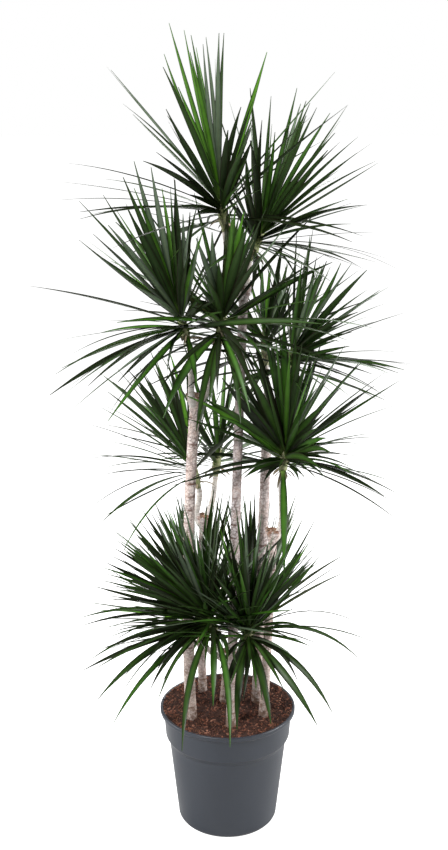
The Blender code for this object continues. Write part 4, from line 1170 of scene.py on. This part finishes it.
def bladeFullness(share):
    # half width along a blade, as a share of the widest: a clasping root, a narrow neck, a long fine tip
    if share < blade["neckAt"]:
        return blade["rootShare"] + (blade["neckShare"] - blade["rootShare"]) * share / blade["neckAt"]
    if share < blade["widestAt"]:
        t = (share - blade["neckAt"]) / (blade["widestAt"] - blade["neckAt"])
        return blade["neckShare"] + (1.0 - blade["neckShare"]) * math.sin(0.5 * math.pi * t)
    t = (share - blade["widestAt"]) / (1.0 - blade["widestAt"])
    return max(blade["tipShare"], 1.0 - t ** blade["taper"])


def leafGuideRows(leaf, head, chance):
    # the leaf's line with its half widths and upper sides; the blade turns a little along its length
    line = leafLine(leaf["root"], leaf["heading"], leaf["length"], leaf["sag"], leaf["swing"])
    axis = headAxis(head)
    outwards = leaf["heading"] - axis * leaf["heading"].dot(axis)
    side = axis.cross(outwards.normalized())
    roll = chance.gauss(0.0, 1.0) * growth["roll"]
    shown = leaf.get("broad", 1.0) >= growth["shownFrom"]  # the broadest turn their upper side to the front
    twist = chance.gauss(0.0, 1.0) * growth["twist"] * (1.1 - leaf["age"])
    if shown:
        roll, twist = roll * growth["shownRoll"], twist * growth["shownRoll"]
    half = blade["halfWidth"] * head["broad"] * chance.uniform(1.0 - blade["widthSpread"],
                                                               1.0 + blade["widthSpread"])
    short = blade["shortWidth"]
    half *= short + (1.0 - short) * min(1.0, leaf["length"] / blade["fullWidthLength"])
    half *= leaf.get("broad", 1.0) * (growth["shownWidth"] if shown else 1.0)
    widths, normals = [], []
    for k, place in enumerate(line):
        tangent = (line[min(k + 1, len(line) - 1)] - line[max(k - 1, 0)]).normalized()
        if shown:
            side = Vector(growth["front"]).cross(tangent)
        level = (side - tangent * side.dot(tangent)).normalized()
        share = k / (len(line) - 1)
        turn = Matrix.Rotation(roll + twist * share * share, 3, tangent)
        normals.append(turn @ tangent.cross(level))
        widths.append(half * bladeFullness(share))
    return line, widths, normals


def limbTree():
    # every solid that a leaf has to miss, as one tree of triangles
    places, faces = [], []
    for name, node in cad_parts.items():
        if name.startswith("head_"):
            continue
        first = len(places)
        places += [v.co.copy() for v in node.data.vertices]
        faces += [[first + v for v in polygon.vertices] for polygon in node.data.polygons]
    return BVHTree.FromPolygons(places, faces)


def clearOfLimbs(rows, limbs):
    line, widths, normals = rows
    places, faces = [], []
    for k, place in enumerate(line):
        tangent = (line[min(k + 1, len(line) - 1)] - line[max(k - 1, 0)]).normalized()
        side = tangent.cross(normals[k]) * (widths[k] + growth["clearance"])
        places += [place - side, place + side]
        if k:
            faces.append((2 * k - 2, 2 * k - 1, 2 * k + 1, 2 * k))
    return not BVHTree.FromPolygons(places, faces).overlap(limbs)


def headLeaves(head, limbs, chance):
    # first the leaves that the photograph shows by their tips, then those that only follow the rule
    leaves = []
    usual = growth["usualReach"]
    aims = [(tip, -usual if number % 2 and len(tip) == 2 else usual, False)
            for number, tip in enumerate(head["tips"])]
    for (x, y, *extra), reach, hangs in aims + [(tip, usual, True) for tip in head["hanging"]]:
        reach = extra[2] if len(extra) > 2 else reach
        for attempt in range(growth["aimTries"]):
            shift = attempt * growth["aimShift"]
            pixel = (x + chance.uniform(-shift, shift), y + chance.uniform(-shift, shift))
            leaf = aimedLeaf(head, pixel, reach, hangs, chance)
            leaf.update(zip(("kind", "broad"), extra))
            leaf["fresh"] = head["fresh"]
            rows = leafGuideRows(leaf, head, chance)
            if leaf["length"] < growth["longestAimed"] * head["leaf"] and clearOfLimbs(rows, limbs):
                leaves.append((leaf, rows))
                break
        else:
            print("  tip not reached:", (x, y))
    for index in range(head["count"]):
        if index < growth["oldAge"] * head["count"] and chance.random() < head.get("fallen", 0.0):
            continue
        for attempt in range(growth["tries"]):
            leaf = ruleLeaf(head, index, chance, head["wild"] + growth["tryFreedom"] * attempt)
            rows = leafGuideRows(leaf, head, chance)
            tip = placePixel(rows[0][-1])
            inRows = head.get("highest", 0) < tip[1] < head["lowest"]
            if inRows and insideCrown(tip) and clearOfLimbs(rows, limbs):
                leaves.append((leaf, rows))
                break
    return leaves + dryStrips(head, chance)


def dryStrips(head, chance):
    # pale shrivelled remnants of old leaves, under the lowest living ones
    strips = []
    axis = headAxis(head)
    for k in range(dry["count"]):
        turn = math.radians(growth["goldenAngle"] * k) + chance.uniform(-dry["turn"], dry["turn"])
        rise = chance.uniform(*dry["rise"])
        heading = headingAt(head, turn, rise)
        root = Vector(head["heart"]) + axis * neckShape["below"] * chance.uniform(*dry["root"])
        leaf = dict(age=0.0, root=root, heading=heading, length=chance.uniform(*dry["length"]),
                    sag=chance.uniform(*dry["sag"]), swing=chance.uniform(-dry["swing"], dry["swing"]),
                    kind="dry")
        strips.append((leaf, leafGuideRows(leaf, head, chance)))
    return strips


dry = dict(count=8, rise=(-0.7, 0.10), root=(-0.75, -0.30), length=(0.015, 0.050), sag=(0.2, 1.6),
           turn=0.4, swing=0.9)
leafTints = dict(  # base colours, dealt out leaf by leaf
    # the deep tint is a dark old-leaf green with painted shade in it, near black like leaves in shadow
    deep=(0.013, 0.024, 0.008, 1.0), dark=(0.023, 0.058, 0.010, 1.0), middle=(0.036, 0.112, 0.012, 1.0),
    # the silver tint is a painted sheen: a pale grey-green base colour standing in for the room's reflection
    # on glossy leaves
    fresh=(0.072, 0.208, 0.018, 1.0), silver=(0.125, 0.185, 0.118, 1.0), bronze=(0.028, 0.042, 0.010, 1.0),
    dry=(0.330, 0.290, 0.210, 1.0))
leafShine = dict(deep=0.12, dark=0.14, middle=0.17, fresh=0.17, silver=0.45, bronze=0.12, dry=0.1)
rootShare = dict(deep=0.10, dark=0.30, middle=0.80, fresh=0.90, silver=0.40, bronze=0.10, dry=0.0)
leafMarks = dict(margin=(0.014, 0.006, 0.004, 1.0), marginFrom=0.56, root=(0.260, 0.400, 0.090, 1.0),
                 rootTo=0.15, under=(0.060, 0.105, 0.040, 1.0), underShare=0.26, roughness=0.36)


def leafKind(age, fresh, chance):
    # the younger, the fresher; some carry a painted sheen, some are bronzed, and a head's own freshness
    # shifts its shares
    shares = dict(fresh=0.50, middle=0.20, silver=0.18, dark=0.12)
    if age < 0.80:
        shares = dict(middle=0.26, dark=0.32, deep=0.18, fresh=0.10, silver=0.10, bronze=0.04)
    # old, low leaves often take the deep tint, which holds painted shade
    if age < 0.40:
        shares = dict(dark=0.38, deep=0.34, middle=0.16, silver=0.06, bronze=0.06)
    weights = [share * {"fresh": fresh, "middle": fresh ** 0.5}.get(kind, 1.0) for kind,
               share in shares.items()]
    return chance.choices(list(shares), weights)[0]


def leafMaterial(name, colour, shine, rootMix):
    # a lighter midrib, a dull underside, pale at the root and a thin dark red margin
    marks = leafMarks
    material, tree, shader = newMaterial(name, SpecularIORLevel=shine)
    across, along = surfaceAttribute(tree, "across"), surfaceAttribute(tree, "along")
    veins = effect(tree, "veins", {"Across": across, "Along": along})
    patches = effect(tree, "mottle", {"Place": objectPlace(tree), "Scale": 34.0,
                                      "Contrast": 0.5})["Patches"]
    lighter = tuple(min(1.0, c) for c in (2.1 * colour[0], 1.75 * colour[1], 1.5 * colour[2])) + (1.0,)
    darker = shaded(colour, 0.62)
    base = mixColour(tree, patches, darker, colour)
    midrib = calc(tree, "MULTIPLY", ramp(tree, along, 0.75, 0.25, 0.05, 0.8), veins["Midline"])
    base = mixColour(tree, midrib, base, lighter)
    under = calc(tree, "MULTIPLY", calc(tree, "LESS_THAN", surfaceAttribute(tree, "upper"), 0.97),
                 marks["underShare"])
    base = mixColour(tree, under, base, marks["under"])
    outer = ramp(tree, calc(tree, "ABSOLUTE", across), 0.0, 0.85, marks["marginFrom"], 1.0)
    base = mixColour(tree, outer, base, marks["margin"])
    base = mixColour(tree, ramp(tree, along, rootMix, 0.0, 0.02, marks["rootTo"]), base, marks["root"])
    tree.links.new(base, shader.inputs["Base Color"])
    rough = calc(tree, "ADD", marks["roughness"] - 0.06, calc(tree, "MULTIPLY", patches, 0.12))
    tree.links.new(rough, shader.inputs["Roughness"])
    addBump(tree, shader, veins["Ribs"], 0.15, 0.0002)
    return material


def bladeTree():
    # a channelled blade along each line; its kind picks the material
    kinds = list(leafTints)
    inputs = [("Geometry", "Geometry"), ("Section", "Object")]
    inputs += [(kind.title() + " Leaf", "Material") for kind in kinds]
    tree, entry, end = newTree("channelledBlades", "GeometryNodeTree", inputs, [("Geometry", "Geometry")])
    rail = addNode(tree, "GeometryNodeMeshToCurve", {"Mesh": entry["Geometry"]}).outputs[0]
    upperSide = readAttribute(tree, "upperSide", "FLOAT_VECTOR")
    rail = addNode(tree, "GeometryNodeSetCurveNormal", {"Curve": rail, "Normal": upperSide},
                   mode="FREE").outputs[0]
    section = addNode(tree, "GeometryNodeObjectInfo", {"Object": entry["Section"]}).outputs["Geometry"]
    section = addNode(tree, "GeometryNodeMeshToCurve", {"Mesh": section}).outputs[0]
    body = addNode(tree, "GeometryNodeCurveToMesh", {"Curve": rail, "Profile Curve": section,
                   "Scale": readAttribute(tree, "halfWidth"), "Fill Caps": True}).outputs[0]
    body = addNode(tree, "GeometryNodeSetShadeSmooth", {"Geometry": body}).outputs[0]
    body = addNode(tree, "GeometryNodeRealizeInstances", {"Geometry": body}).outputs[0]
    kindHere = readAttribute(tree, "kind")
    for number, kind in enumerate(kinds):
        chosen = calc(tree, "COMPARE", kindHere, float(number), 0.25)
        body = setMaterial(tree, body, entry[kind.title() + " Leaf"], chosen)
    plug(tree, body, end.inputs["Geometry"])
    return tree


def bladeSection():
    # the closed outline across a blade: X is its upper side, Y runs one unit to each margin;
    # a shallow channel above, a low keel below
    places = [(blade["channel"], -1.0), (0.0, 0.0), (blade["channel"], 1.0), (-blade["keel"], 0.0)]
    mesh = bpy.data.meshes.new("bladeSection")
    mesh.from_pydata([(x, y, 0.0) for x, y in places], [(k, (k + 1) % 4) for k in range(4)], [])
    across = mesh.attributes.new("across", "FLOAT", "POINT")
    across.data.foreach_set("value", [y for x, y in places])
    upper = mesh.attributes.new("upper", "FLOAT", "POINT")
    upper.data.foreach_set("value", [1.0, 1.0, 1.0, 0.0])
    return addObject("bladeSection", mesh)


def bladeGuide(name, leaves, chance):
    kinds = list(leafTints)
    lines, widths, normals, alongs, numbers = [], [], [], [], []
    for leaf, (line, half, upper) in leaves:
        kind = kinds.index(leaf.get("kind") or leafKind(leaf["age"], leaf["fresh"], chance))
        lines.append(line)
        widths += half
        normals += upper
        alongs += [k / (len(line) - 1) for k in range(len(line))]
        numbers += [float(kind)] * len(line)
    return makeGuide(name, lines, [("halfWidth", "FLOAT", widths), ("upperSide", "FLOAT_VECTOR", normals),
                                   ("along", "FLOAT", alongs), ("kind", "FLOAT", numbers)])


def makeHeads():
    limbs = limbTree()
    tree, section = bladeTree(), bladeSection()
    values = {"Section": section}
    for kind, colour in leafTints.items():
        values[kind.title() + " Leaf"] = leafMaterial(kind + "Leaf", colour, leafShine[kind],
                                                      rootShare[kind])
    total = 0
    for number, (name, head) in enumerate(heads.items()):
        chance = random.Random(growth["seed"] + 100 * number)
        leaves = headLeaves(head, limbs, chance)
        piece = growPiece("leaves_" + name, bladeGuide(name, leaves, chance), tree, values)
        outward(piece)
        piece.data.set_sharp_from_angle(angle=math.radians(75))
        settle(piece, "leaf_green", "head_" + name)
        total += len(leaves)
        print("leaves", name, len(leaves))
    bpy.data.objects.remove(section, do_unlink=True)
    print("leaves in all:", total)


# Stage: a plain pale floor, a white room and soft lamps
studio = dict(floorRadius=60.0, floorColour=(0.62, 0.62, 0.62, 1.0), floorGlow=1.0,
              roomColour=(1.0, 1.0, 1.0, 1.0), seenStrength=1.0, litStrength=0.20)
lamps = dict(
    key=dict(place=(-1.7, -2.5, 3.2), aim=(0.0, 0.0, 0.9), size=1.1, power=172.0),
    left=dict(place=(-2.6, 0.3, 1.5), aim=(0.0, 0.0, 0.8), size=1.6, power=60.0),
    right=dict(place=(2.7, -0.1, 1.7), aim=(0.0, 0.0, 0.8), size=1.6, power=118.0),
    back=dict(place=(0.4, 2.4, 2.9), aim=(0.0, 0.0, 1.0), size=1.4, power=50.0),
)


def makeStage():
    bm = bmesh.new()
    bmesh.ops.create_circle(bm, cap_ends=True, segments=64, radius=studio["floorRadius"])
    mesh = finishMesh("floor", bm)
    for vertex in mesh.vertices:
        vertex.co.z = -0.0006
    material, tree, shader = newMaterial("paleFloor", Roughness=0.9, SpecularIORLevel=0.1)
    patches = effect(tree, "mottle", {"Place": objectPlace(tree), "Scale": 1.2, "Contrast": 0.2})["Patches"]
    darker = shaded(studio["floorColour"], 0.985)
    tree.links.new(mixColour(tree, patches, darker, studio["floorColour"]), shader.inputs["Base Color"])
    shader.inputs["Emission Color"].default_value = studio["roomColour"]
    # seen as white, yet lights the plant softly
    seen = tree.nodes.new("ShaderNodeLightPath").outputs["Is Camera Ray"]
    tree.links.new(calc(tree, "MULTIPLY", seen, studio["floorGlow"]), shader.inputs["Emission Strength"])
    mesh.materials.append(material)
    addObject("floor", mesh)


def makeLight():
    world = bpy.data.worlds.new("whiteRoom")
    bpy.context.scene.world = world
    world.use_nodes = True
    tree = world.node_tree
    sky = tree.nodes["Background"]
    sky.inputs["Color"].default_value = studio["roomColour"]
    seen = tree.nodes.new("ShaderNodeLightPath").outputs["Is Camera Ray"]
    tree.links.new(ramp(tree, seen, studio["litStrength"], studio["seenStrength"], smooth=False),
                   sky.inputs["Strength"])
    for name, lamp in lamps.items():
        data = bpy.data.lights.new(name, "AREA")
        data.shape = "DISK"
        data.size = lamp["size"]
        data.energy = lamp["power"]
        thing = bpy.data.objects.new(name, data)
        thing.location = lamp["place"]
        thing.rotation_euler = (Vector(lamp["aim"]) - thing.location).to_track_quat("-Z", "Y").to_euler()
        bpy.context.scene.collection.objects.link(thing)
    bpy.context.scene.view_settings.view_transform = "Standard"


makeCamera()
makeStage()
makeLight()
makePot()
makeSoil()
bark = barkTree()
sawnEnd = cutMaterial()
makeCanes(bark, sawnEnd)
makeShoots(bark, sawnEnd)
makeNecks(bark)
makeHeads()
